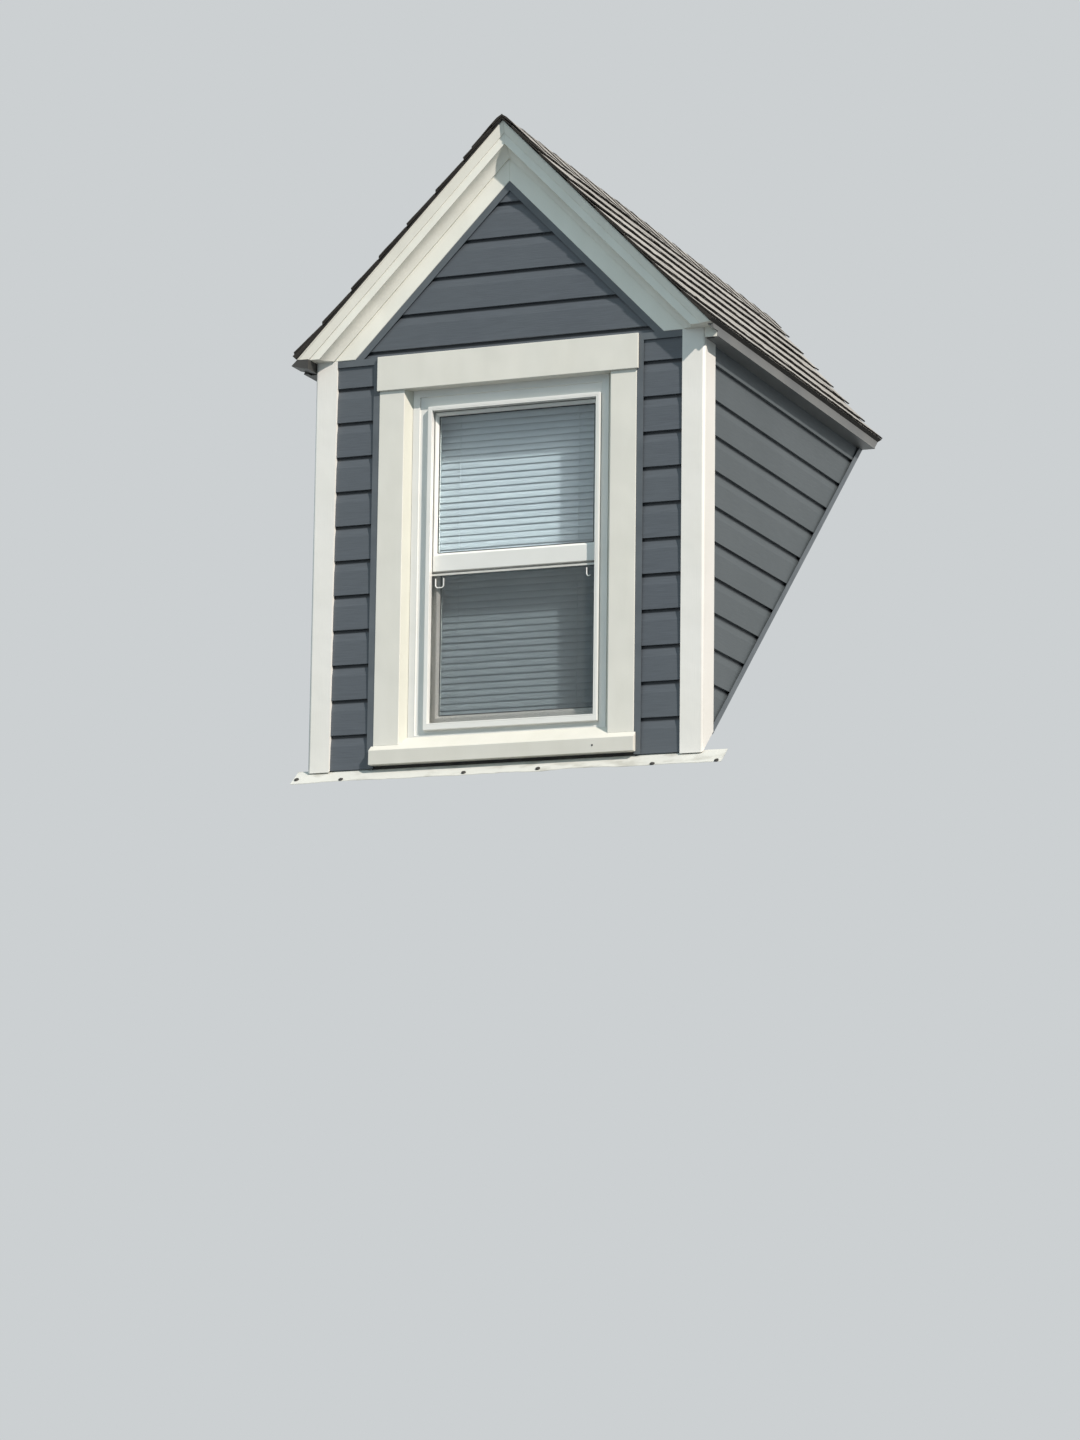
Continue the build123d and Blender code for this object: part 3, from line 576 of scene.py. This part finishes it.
def cut_to_main_roof(mesh):
    """Keeps what lies above the main roof surface."""
    cut_off(mesh, (0, 0, 0), (0, math.sin(MAIN_SLOPE), -math.cos(MAIN_SLOPE)))


def piece(mesh, name, finish, nodes=(), core=None):
    """Turns the mesh into a named piece of the dormer, in place of the CAD nodes given.

    core is the finish of its rims and under sides, where that differs.
    """
    bmesh.ops.recalc_face_normals(mesh, faces=mesh.faces[:])
    if core is None:
        for face in mesh.faces:
            face.material_index = 0
    data = bpy.data.meshes.new(name)
    mesh.to_mesh(data)
    mesh.free()
    data.shade_smooth()
    data.set_sharp_from_angle(angle=math.radians(32))
    thing = bpy.data.objects.new(name, data)
    bpy.context.collection.objects.link(thing)
    data.materials.append(finish)
    if core is not None:
        data.materials.append(core)
    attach(thing, "root")
    if nodes:
        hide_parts(*nodes)
    return thing


def wire(name, runs, radius, finish):
    """Thin round wire or cord along each run of points."""
    curve = bpy.data.curves.new(name, "CURVE")
    curve.dimensions = "3D"
    curve.bevel_depth = radius
    curve.bevel_resolution = 2
    curve.use_fill_caps = True
    for run in runs:
        spline = curve.splines.new("POLY")
        spline.points.add(len(run) - 1)
        for point, place in zip(spline.points, run):
            point.co = (*place, 1.0)
    curve.materials.append(finish)
    thing = bpy.data.objects.new(name, curve)
    bpy.context.collection.objects.link(thing)
    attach(thing, "root")


def on_slope(side, run, lift, y):
    """A point on one roof slope: run down it from the ridge, lift square to its top."""
    return Vector((side * (run * COS + lift * SIN), y, RIDGE - run * SIN + lift * COS))


def shingle_slope(side, hand, finish, core, felt):
    """Tabs, their heads, the starter and the felt of one slope, laid from the eave up."""
    dice = random.Random(7 + side)
    mesh = bmesh.new()
    square = Vector((side * SIN, 0, COS))
    back = SHINGLE_HIGH.y
    eave_run = (EAVE_X - (STARTER + CURL_ROOM) * SIN) / COS
    courses = []
    run = eave_run
    while run > RIDGE_RUN:
        courses.append(run)
        run -= EXPOSURE

    def layer(run, lift, inset, along):
        """A point of a layer that starts inset behind the rake."""
        return on_slope(side, run, lift, RAKE_Y + inset + (back - RAKE_Y) * along)

    for course, butt in enumerate(courses):
        first_lift, stiff = (0.0, 1) if course else (STARTER, FIRST_BEND)
        # joints are about half a tab apart from course to course
        seam = RAKE_Y - (TAB / 2 if course % 2 else JOINT_OFF)
        seam += dice.uniform(-JOINT_OFF, JOINT_OFF)
        while seam < back:
            left = max(seam + SLOT / 2, RAKE_Y + dice.uniform(0.0, RAKE_OFF))
            right = seam + TAB - SLOT / 2 + dice.uniform(-WIDTH_OFF, WIDTH_OFF)
            seam += TAB
            if right - left < LEAST_TAB:
                continue
            curl = [dice.uniform(0.0, CURL[side]) for corner in range(2)]
            skew = [dice.uniform(0.0, TAB_SKEW) for corner in range(2)]
            thick = TAB_THICK + dice.uniform(*THICK_OFF)

            def top(up, along):
                """Top of a tab, worn at its butt, curled at its corners and risen between them."""
                y = left + (right - left) * along
                wave = 0.5 + 0.5 * uneven(y * 12, butt * 40, side * 5)
                corner = max(0.0, 1 - min(along, 1 - along) * 14) ** 2
                edge = part_way(skew, along) + TAB_WAVE * wave + TAB_CORNER * corner
                swell = 0.5 + 0.5 * uneven(y * 9, butt * 23, 9.0 + side)
                bend = (part_way(curl, along) + RISE[side] * swell) * (1 - up) ** 2
                belly = TAB_BELLY * uneven(y * 25, butt * 30 + up * 3, 3.0)
                lift = first_lift * (1 - up) - TAB_THICK * up + bend * stiff + belly * (1 - up)
                run = max(butt - edge - up * (EXPOSURE - edge), RIDGE_GAP)
                return on_slope(side, run, lift, y)

            slab(mesh, 4, 16, top, backed(top, square, thick))
        # the head of this course lies on under the next one's tabs
        low_run = max(butt - EXPOSURE + HEAD_LAP, 2 * RIDGE_GAP)
        high_run = max(butt - 2 * EXPOSURE, RIDGE_GAP)

        def head(up, along):
            lift = -TAB_THICK * (1 + up) - HEAD_GAP
            return layer(low_run + (high_run - low_run) * up, lift, HEAD_BACK, along)

        slab(mesh, 1, 1, head, backed(head, square, HEAD_THICK))

    def starter(up, along):
        lift = (STARTER - TAB_THICK - STARTER_GAP) * (1 - up) - 2 * TAB_THICK * up
        return layer(eave_run - STARTER_BACK - up * EXPOSURE, lift, STARTER_BACK, along)

    def starter_under(up, along):
        return layer(eave_run - STARTER_BACK - up * EXPOSURE, FELT - SHINGLE_LAYERS,
                     STARTER_BACK, along)

    def felt_top(up, along):
        return layer((eave_run - FELT_BACK) * (1 - up) + RIDGE_GAP, FELT - SHINGLE_LAYERS,
                     FELT_BACK, along)

    slab(mesh, 1, 1, starter, starter_under)
    cut_to_main_roof(mesh)
    piece(mesh, hand + "_shingle_tabs", finish, [hand + "_shingles"], core)
    mesh = bmesh.new()
    slab(mesh, 1, 1, felt_top, backed(felt_top, square, FELT))
    cut_to_main_roof(mesh)
    piece(mesh, hand + "_roof_felt", felt)


def ridge_caps(finish, core):
    """Caps cut from shingles and bent over the ridge, each lapping the one in front."""
    dice = random.Random(21)
    mesh = bmesh.new()
    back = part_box("ridge_caps")[1].y
    start = RAKE_Y
    while start < back:
        reach = [CAP_REACH + dice.uniform(-CAP_REACH_OFF, 0.0) for corner in range(4)]
        front = start + dice.uniform(0.0, CAP_START_OFF)

        def outside(across, along):
            """Upper face, rounded over the ridge and lifted in front, where it laps the last."""
            share = 2 * across - 1
            distance = share * part_way(reach[:2] if share < 0 else reach[2:], along)
            bent = math.sqrt(distance * distance + CAP_FOLD * CAP_FOLD)
            lift = CAP_LIFT * (1 - along * CAP_LENGTH / EXPOSURE)
            lift += CAP_BULGE * (0.5 + uneven(distance * 20, start * 7 + along, 1.0)) * (1 - along)
            square = Vector((SIN * (distance / bent), 0, COS)).normalized()
            place = Vector((distance * COS, front + along * CAP_LENGTH, RIDGE - bent * SIN))
            return place + square * min(lift, CAP_LIFT + CAP_ROOM)

        def inside(across, along):
            square = Vector((SIN * (2 * across - 1), 0, COS)).normalized()
            return outside(across, along) - square * CAP_THICK

        slab(mesh, 14, 3, outside, inside)
        start += EXPOSURE
    cut_to_main_roof(mesh)
    piece(mesh, "ridge_cap_tabs", finish, ["ridge_caps"], core)


def rake_crown(side, name, finish):
    """Moulded crown under the shingles of one rake, mitred at the apex and cut level at its foot.

    Its section goes from the hollow cove by the frieze, over a bevel, to the square fillet and
    its drip lip.
    """
    low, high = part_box(name)
    section = [(COVE_FOOT, -COVE_LIP)]
    for step in range(1, COVE_STEPS + 1):
        share = step / COVE_STEPS
        bow = COVE_HOLLOW * math.sin(share * math.pi)
        section.append((COVE_FOOT + (COVE_HEAD - COVE_FOOT) * share - bow * COVE_BOW[0],
                        -COVE_LIP - (BEVEL_FOOT - COVE_LIP) * share + bow * COVE_BOW[1]))
    section += [(FILLET_FOOT, -BEVEL_HEAD), (FILLET_FOOT, -BEVEL_HEAD - QUIRK),
                (LIP_FOOT, -FILLET_FACE), (LIP_FOOT, low.y), (SHINGLE_LAYERS, low.y),
                (SHINGLE_LAYERS, DECK_LOW.y), (DECK_UNDER, DECK_LOW.y), (DECK_UNDER, high.y),
                (COVE_FOOT, high.y)]
    mesh = bmesh.new()
    bar(mesh, section, lambda drop, y: on_slope(side, CROWN_START, -drop, y),
        lambda drop, y: on_slope(side, CROWN_END, -drop, y))
    cut_off(mesh, (0, 0, 0), (-side, 0, 0))
    cut_off(mesh, (side * DECK_HIGH.x, 0, 0), (side, 0, 0))
    cut_off(mesh, (0, 0, low.z), (0, 0, -1))
    ease(piece(mesh, name + "_moulding", finish, [name]), CROWN_EASE)


def eave_metal(side, hand, finish):
    """Bent sheet on one eave, over the edge of the deck and the fascia, with a kick at its foot."""
    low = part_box(hand + "_eave_fascia")[0]
    edge, roof_edge = DECK_HIGH.x, DECK_LOW.z + EAVE_FACE
    mesh = bmesh.new()
    for foot, front, back in ((DECK_LOW.z - EAVE_DROP, DECK_LOW.y - SHEET, low.y),
                              (low.z, low.y, SHINGLE_HIGH.y)):
        face = [(edge, foot), (edge + KICK, foot), (edge + KICK, foot + SHEET),
                (edge + SHEET, foot + KICK_RISE), (edge + SHEET, roof_edge), (edge, roof_edge)]
        run_back(mesh, face, side, front, back)
    cut_to_main_roof(mesh)
    piece(mesh, hand + "_eave_drip_edge", finish)


def eave_returns(boxed_finish, fold_finish, stop_finish):
    """Sheets that close the front ends of the eaves.

    The left one is boxed out as far as the eave, and the right one is folded close.
    """
    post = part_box("right_corner_post")[1].x
    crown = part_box("right_rake_crown")[0]
    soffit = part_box("right_eave_fascia")[0].z
    edge, foot = DECK_HIGH.x, DECK_LOW.z
    head, tip = crown.z - RETURN_GAP, EAVE_X - TIP_BACK
    boxed = [(post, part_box("left_eave_fascia")[0].z), (edge, foot - BOX_DROP),
             (tip, foot - TIP_DROP), (tip, foot - TIP_DROP / 2), (edge, head), (post, head)]
    folded = [(edge - FOLD_WIDE, head), (edge, foot - SHEET), (edge, head)]
    stopped = [(post, soffit), (edge, soffit), (edge, head), (post, head)]
    mesh = bmesh.new()
    run_back(mesh, boxed, -1, crown.y, POST_ROUND)
    piece(mesh, "left_eave_return", boxed_finish)
    mesh = bmesh.new()
    run_back(mesh, folded, 1, DECK_LOW.y - SHEET, -FOLD_BACK)
    piece(mesh, "right_eave_fold", fold_finish)
    mesh = bmesh.new()
    run_back(mesh, stopped, 1, -SHEET, 0.0)
    piece(mesh, "right_eave_return", stop_finish)


def sill_gap(finish):
    """Dark strip under the sill, against the apron's leg: painted shade, seen as a black line."""
    low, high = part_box("window_sill")
    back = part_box("front_sheathing")[0].y
    front, leg = back - GAP_PROUD, back - APRON_THICK
    section = [(front, GAP_FOOT), (leg, GAP_FOOT_BACK), (leg, GAP_HEAD), (front, GAP_HEAD)]
    mesh = bmesh.new()
    bar(mesh, section, lambda y, z: Vector((low.x, y, z)), lambda y, z: Vector((high.x, y, z)))
    piece(mesh, "sill_gap_shade_strip", finish)


def blind(finish):
    """Crowned slats, a head rail and a foot rail, hung on ladder cords."""
    dice = random.Random(5)
    low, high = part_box("blind")
    middle = (low.y + high.y) / 2
    half = high.x
    mesh = bmesh.new()
    level = low.z + FOOT_RAIL + SLAT_PITCH / 2
    while level < high.z - HEAD_RAIL - SLAT_PITCH / 2:
        tilt = SLAT_TILT + dice.uniform(-SLAT_SWING, SLAT_SWING)
        dip = dice.uniform(-SLAT_DIP, SLAT_DIP)

        def face(across, along, gap=0.0):
            share = across - 0.5
            crown = SLAT_CROWN * (1 - 4 * share * share) - gap
            drop = dip * math.sin(along * math.pi * 3)
            wide = share * SLAT_WIDTH
            rise = drop + wide * math.sin(tilt) + crown * math.cos(tilt) - SLAT_SINK
            return Vector((half * (2 * along - 1),
                           middle + wide * math.cos(tilt) - crown * math.sin(tilt), level + rise))

        slab(mesh, 4, 10, face, lambda across, along: face(across, along, gap=SLAT_THICK))
        level += SLAT_PITCH
    for foot, head in ((low.z, low.z + FOOT_RAIL), (high.z - HEAD_RAIL, high.z)):
        def rail(across, along):
            edge = RAIL_ROUND * (1 - math.sin(across * math.pi))
            return Vector((half * (2 * along - 1), low.y + edge, foot + (head - foot) * across))

        def rail_back(across, along):
            return Vector((half * (2 * along - 1), high.y, foot + (head - foot) * across))

        slab(mesh, 6, 2, rail, rail_back)
    piece(mesh, "blind_slats", finish, ["blind"])
    rungs = int((high.z - low.z) / SLAT_PITCH)
    runs = [[(x + CORD_SWAY * (rung % 2), y, low.z + FOOT_RAIL / 2 + rung * SLAT_PITCH)
             for rung in range(rungs)]
            for x in (-CORD_X, CORD_X) for y in (middle - LADDER_HALF, middle + LADDER_HALF)]
    wire("blind_ladder_cords", runs, CORD_RADIUS, finish)


def apron(finish):
    """Snipped and nailed sheet at the foot, buckled between its nails, with a leg up the wall."""
    low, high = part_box("apron_flashing")
    leg_low, leg_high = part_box("front_sheathing")
    bend = high.y * MAIN_RISE
    square = math.cos(MAIN_SLOPE)

    def lying(depth, along):
        """The sheet on the main roof, ragged and buckled along its front."""
        x = low.x + (high.x - low.x) * along
        ragged = APRON_RAGGED + APRON_RAGGED * uneven(x * 5, 0.0, 4.0)
        ragged += APRON_SNIPS * uneven(x * 31, 0, 0)
        y = part_way((low.y + max(ragged, APRON_INSIDE), high.y), depth)
        buckle = APRON_BUCKLE * (1 + uneven(x * 11, 1.0, 0.0)) * (1 - depth) ** 2
        return Vector((x, y, y * MAIN_RISE + (APRON_THICK + buckle) / square))

    def leg(up, along):
        """The leg that stands against the wall."""
        return Vector((leg_low.x + (leg_high.x - leg_low.x) * along, high.y - APRON_THICK,
                       bend + (high.z - bend) * up))

    mesh = bmesh.new()
    slab(mesh, 4, 90, lying, backed(lying, Vector((0, 0, 1)), APRON_THICK * APRON_DRAWN / square))
    slab(mesh, 2, 4, leg, backed(leg, Vector((0, -1, 0)), APRON_THICK))
    piece(mesh, "apron_sheet", finish, ["apron_flashing"])


def nail_heads(name, centres, square, radius, finish):
    """Domed nail heads, each square to the sheet that it holds, with a dab of sealer over it."""
    dice = random.Random(11)
    mesh = bmesh.new()
    across = Vector((1, 0, 0))
    up = square.cross(across)
    for centre in centres:
        lobes = [dice.uniform(*NAIL_LOBES) for turn in range(NAIL_SIDES)]
        rings = []
        for wide, rise in NAIL_RINGS:
            ring = []
            for turn, lobe in enumerate(lobes):
                angle = turn * math.pi * 2 / NAIL_SIDES
                out = (across * math.cos(angle) + up * math.sin(angle)) * radius * wide * lobe
                ring.append(mesh.verts.new(centre + out + square * radius * rise))
            rings.append(ring)
        link_rings(mesh, rings)
        mesh.faces.new(rings[-1])
        mesh.faces.new(rings[0][::-1])
    piece(mesh, name, finish)


def frame_round(name, outer, profile, finish):
    """A closed moulding round an opening, mitred at its corners.

    Its outer rectangle is given as left, right, foot and head, and each point of its profile
    as an inset from that rectangle and a depth.
    """
    left, right, foot, head = outer
    mesh = bmesh.new()
    rings = []
    for inset, y in profile:
        corners = ((left + inset, foot + inset), (right - inset, foot + inset),
                   (right - inset, head - inset), (left + inset, head - inset))
        rings.append([mesh.verts.new((x, y, z)) for x, z in corners])
    link_rings(mesh, rings + rings[:1])
    piece(mesh, name, finish)


def glazing_seal(name, pane, finish):
    """Thin seal round the face of one pane, just inside the sash."""
    low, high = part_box(pane)
    inner = SEAL_INSET + SEAL_WIDE
    profile = [(SEAL_INSET, low.y), (SEAL_INSET, low.y - SEAL_PROUD),
               (inner, low.y - SEAL_THIN), (inner, low.y)]
    frame_round(name, (low.x, high.x, low.z, high.z), profile, finish)


def frame_flange(finish):
    """Flat flange of the window frame, a little in front of the frame's face, with an eased lip."""
    casing_low, casing_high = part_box("right_side_casing")
    half = casing_low.x - SPLAY
    foot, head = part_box("window_frame")[0].z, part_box("head_casing")[0].z
    section = ((0.0, -FLANGE_BED), (0.0, FLANGE_PROUD), (FLANGE - LIP_WIDE, FLANGE_PROUD),
               (FLANGE - LIP_ROUND, FLANGE_PROUD + LIP_RISE), (FLANGE, FLANGE_PROUD),
               (FLANGE, -FLANGE_BED))
    profile = [(inset, casing_high.y - proud) for inset, proud in section]
    frame_round("frame_flange", (-half, half, foot, head), profile, finish)


def sash_stops(finish):
    """Narrow stop inside the bead of the window frame, closing most of the gap to the sashes."""
    pane_low, pane_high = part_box("upper_glass")
    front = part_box("window_frame")[0].y
    middle = (pane_low.x + pane_high.x) / 2
    profile = [(0.0, front + STOP_DEEP), (0.0, front), (STOP_WIDE - STOP_ROUND, front),
               (STOP_WIDE, front + STOP_ROUND), (STOP_WIDE, front + STOP_DEEP)]
    frame_round("sash_stops", (middle - STOP_HALF, middle + STOP_HALF, STOP_LOW, STOP_HIGH),
                profile, finish)


def sill_top(y):
    """Height of the sloping top of the sill at a depth."""
    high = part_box("window_sill")[1]
    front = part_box("right_side_casing")[0].z
    return front + (high.z - front) * max(0.0, y) / high.y


def reveal_splay(finish):
    """Bent sheet that lines each side of the opening, splayed from the casing to the frame."""
    low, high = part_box("right_side_casing")
    section = [(low.x, SPLAY_FRONT), (low.x - SPLAY, high.y), (low.x, high.y)]
    mesh = bmesh.new()
    for side in (-1, 1):
        bar(mesh, section, lambda x, y: Vector((side * x, y, sill_top(y))),
            lambda x, y: Vector((side * x, y, high.z)))
    piece(mesh, "reveal_splay", finish)


def screen(mesh_finish, tab_finish):
    """Insect mesh as one woven sheet in its bar, and two pull tabs at its head."""
    low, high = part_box("screen_mesh")
    middle = (low.y + high.y) / 2
    sheet = bmesh.new()
    columns, rows = 12, 10
    grid = [[sheet.verts.new((low.x + (high.x - low.x) * i / columns,
                              middle + MESH_SAG * uneven(i * 0.6, j * 0.5, 2.0),
                              low.z + (high.z - low.z) * j / rows))
             for i in range(columns + 1)] for j in range(rows + 1)]
    for row, upper in zip(grid, grid[1:]):
        for i in range(columns):
            sheet.faces.new((row[i], row[i + 1], upper[i + 1], upper[i]))
    piece(sheet, "insect_mesh_sheet", mesh_finish, ["screen_mesh"])
    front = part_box("screen_frame")[0].y - PULL_PROUD
    runs = [[(x, front, z) for x, z in tab] for tab in (PULL_LOOP, PULL_HOOK)]
    wire("screen_pull_tabs", runs, PULL_WIRE, tab_finish)


def ease(thing, width):
    """Rounds the sharp edges of a piece by a hair, so that they catch the light."""
    edge = thing.modifiers.new("eased", "BEVEL")
    edge.width = width
    edge.segments = 2
    edge.limit_method = "ANGLE"
    edge.angle_limit = math.radians(28)
    edge.use_clamp_overlap = True


def crisp_edges(name, width):
    """Joins the faces of a CAD piece and eases its edges."""
    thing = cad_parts[name]
    thing.modifiers.new("joined", "WELD").merge_threshold = WELD_REACH
    flat = thing.modifiers.new("one_face", "DECIMATE")
    flat.decimate_type = "DISSOLVE"
    flat.angle_limit = math.radians(1)
    ease(thing, width)


def dress(names, finish):
    """Gives the CAD pieces their finish."""
    for name in names:
        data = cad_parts[name].data
        data.materials.clear()
        data.materials.append(finish)


def both(name):
    """The names of the left and the right piece."""
    return ["left_" + name, "right_" + name]


def place_camera():
    """Camera at the photograph's viewing angle, a little tilted."""
    azimuth, rise, roll = math.radians(22.4), math.radians(9.94), math.radians(0.73)
    stand = (5.185, -12.264, -2.185)
    forward = Vector((-math.sin(azimuth) * math.cos(rise), math.cos(azimuth) * math.cos(rise),
                      math.sin(rise)))
    right = Vector((math.cos(azimuth), math.sin(azimuth), 0))
    down = forward.cross(right)
    across = right * math.cos(roll) - down * math.sin(roll)
    upright = -(right * math.sin(roll) + down * math.cos(roll))
    lens = bpy.data.cameras.new("camera")
    lens.sensor_width = 36.0
    lens.lens = 107.26
    lens.clip_end = 100
    camera = bpy.data.objects.new("camera", lens)
    bpy.context.collection.objects.link(camera)
    turn = Matrix((across, upright, -forward)).transposed().to_4x4()
    camera.matrix_world = Matrix.Translation(stand) @ turn
    bpy.context.scene.camera = camera


def seen_directly(tree):
    """1 where the camera, a reflection or clear glass shows the place, 0 for the light it gives."""
    path = add(tree, "LightPath").outputs
    seen = path["Is Camera Ray"]
    for way in ("Is Glossy Ray", "Is Transmission Ray"):
        seen = reckon(tree, "MAXIMUM", seen, path[way])
    return seen


def key_lamp():
    """One warm lamp high on the right, small enough for crisp shadows."""
    lamp = bpy.data.lights.new("key", "SUN")
    lamp.energy = 4.2
    lamp.angle = math.radians(1.0)
    lamp.color = (1.0, 0.91, 0.83)
    key = bpy.data.objects.new("key", lamp)
    bpy.context.collection.objects.link(key)
    key.rotation_euler = Vector(LAMP_FROM).to_track_quat("Z", "Y").to_euler()


def glowing_room():
    """A room that lights the dormer coolly, with a pale backdrop where it is seen."""
    world = bpy.data.worlds.new("studio")
    bpy.context.scene.world = world
    world.use_nodes = True
    tree = world.node_tree
    tree.nodes.clear()
    # brighter in front and overhead, so that faces turned down or back are darker than others
    toward = add(tree, "TexCoord").outputs["Generated"]
    ahead = add(tree, "VectorMath", {0: toward, 1: GLOW_FROM},
                operation="DOT_PRODUCT").outputs["Value"]
    glow = between(tree, ahead, ROOM_DIM, ROOM_BRIGHT, 0.0, 1.0)
    room = add(tree, "Background", {"Color": (0.77, 0.99, 1.09, 1.0), "Strength": glow})
    backdrop = add(tree, "Background", {"Color": linear("#ccd0d2"), "Strength": 1.0})
    mixed = add(tree, "MixShader", {0: seen_directly(tree), 1: room.outputs[0],
                                    2: backdrop.outputs[0]})
    add(tree, "OutputWorld", {"Surface": mixed.outputs[0]})


def studio_floor():
    """A plain pale floor well below the dormer, which keeps its shadow."""
    mesh = bmesh.new()
    bmesh.ops.create_grid(mesh, x_segments=1, y_segments=1, size=30)
    data = bpy.data.meshes.new("floor")
    mesh.to_mesh(data)
    mesh.free()
    floor = bpy.data.objects.new("floor", data)
    bpy.context.collection.objects.link(floor)
    floor.location = (0, 0, -2.6)
    material, tree, place = new_finish("studio_floor")
    pale = tint(tree, blotch(tree, place, 0.5), linear("#c4c8ca"), linear("#cacdcf"))
    shown = add(tree, "BsdfPrincipled", {"Base Color": pale, "Roughness": 0.9})
    # it throws back less light than it seems to, so that under sides stay as dark as over a roof
    lighting = add(tree, "BsdfDiffuse", {"Color": linear("#646567")})
    surface(tree, add(tree, "MixShader", {0: seen_directly(tree), 1: lighting.outputs[0],
                                          2: shown.outputs[0]}))
    data.materials.append(material)


shingle, mat, felt = granule_shingle(), shingle_mat(), roofing_felt()
trim = clad_trim("white_coil_cladding", "#e4e2d9", "#dad8ce")
rake_trim = clad_trim("white_rake_cladding", "#f4f3e9", "#e9e7dc")
# the sill's copy of the cladding is darker than the casings': painted shade against the light on
# its sloping top
sill_trim_painted_shade = clad_trim("white_sill_cladding_painted_shade", "#dcdad1", "#d2d0c5")
# the splays' copy of the cladding is darker than the casings': painted shade against the light that
# falls on the splays
reveal_trim_painted_shade = clad_trim("white_reveal_cladding_painted_shade", "#d5d5c9", "#cccbbf")
vinyl = window_vinyl()
cement, seal = dabbed_nail(), seal_rubber()
eave_sheet = eave_cladding("grey_coil_cladding", "#626465", "#717271")
# near-black copy of the grey eave cladding for the left eave's sheets: painted shade, where that
# eave lies in shade
eave_painted_shade = eave_cladding("dark_eave_cladding_painted_shade", "#2f2f2f", "#474644")

shingle_slope(-1, "left", shingle, mat, felt)
shingle_slope(1, "right", shingle, mat, felt)
ridge_caps(shingle, mat)
rake_crown(-1, "left_rake_crown", rake_trim)
rake_crown(1, "right_rake_crown", rake_trim)
for side, hand, finish in ((-1, "left", eave_painted_shade), (1, "right", eave_sheet)):
    eave_metal(side, hand, finish)
    dress([hand + "_eave_fascia"], finish)
eave_returns(eave_painted_shade, eave_sheet, rake_trim)
sill_gap(felt)
blind(blind_slat())
frame_flange(vinyl)
sash_stops(vinyl)
reveal_splay(reveal_trim_painted_shade)
screen(insect_mesh(), vinyl)
apron(flashing_sheet())
on_roof = Vector((0, -math.sin(MAIN_SLOPE), math.cos(MAIN_SLOPE)))
nail_heads("apron_nail_heads",
           [Vector((x, y, y * MAIN_RISE)) + on_roof * APRON_NAIL_LIFT for x, y in APRON_NAILS],
           on_roof, APRON_NAIL_RADIUS, cement)
sill_nail = Vector((SILL_NAIL_X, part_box("window_sill")[0].y, SILL_NAIL_Z))
nail_heads("sill_nail_head", [sill_nail], Vector((0, -1, 0)), SILL_NAIL_RADIUS, cement)
glazing_seal("upper_glazing_seal", "upper_glass", seal)
glazing_seal("lower_glazing_seal", "lower_glass", seal)

casings = ["head_casing"] + both("side_casing")
window = ["window_frame", "upper_sash", "lower_sash"]
dress(["gable_siding"] + both("front_siding"),
      slate_siding("slate_lap_siding_front", "x", "#4c5259", "#555c64"))
# the cheeks' copy of the siding is darker than the front's: painted shade against the stronger
# light on the cheeks
dress(both("cheek_siding"), slate_siding("slate_lap_siding_cheek_painted_shade", "y", "#474e51", "#50575a"))
dress(["gable_channel", "window_channel"] + both("slope_channel"), slate_channel())
dress(casings, trim)
dress(["window_sill"], sill_trim_painted_shade)
dress(both("rake_frieze"), rake_trim)
dress(both("corner_post"), post_vinyl())
dress(window, vinyl)
dress(["upper_glass", "lower_glass"], clear_pane())
dress(["screen_frame"], screen_bar())
dress(["window_jamb_lining"], painted_board("painted_jamb_board", "#dededa", "#d2d2cb"))
dress(["front_lining"] + both("cheek_lining") + both("ceiling"),
      painted_board("painted_plaster_board", "#dcdad2", "#d0cec5"))
dress(["front_wall_frame", "ridge_board"] + both("cheek_frame") + both("rafters"), softwood())
dress(["front_sheathing"] + both("cheek_sheathing") + both("roof_deck"), strand_board())
for name in casings + ["window_sill"] + both("rake_frieze") + both("corner_post") + window:
    crisp_edges(name, TRIM_EASE)

bpy.context.scene.view_settings.view_transform = "Standard"
place_camera()
key_lamp()
glowing_room()
studio_floor()
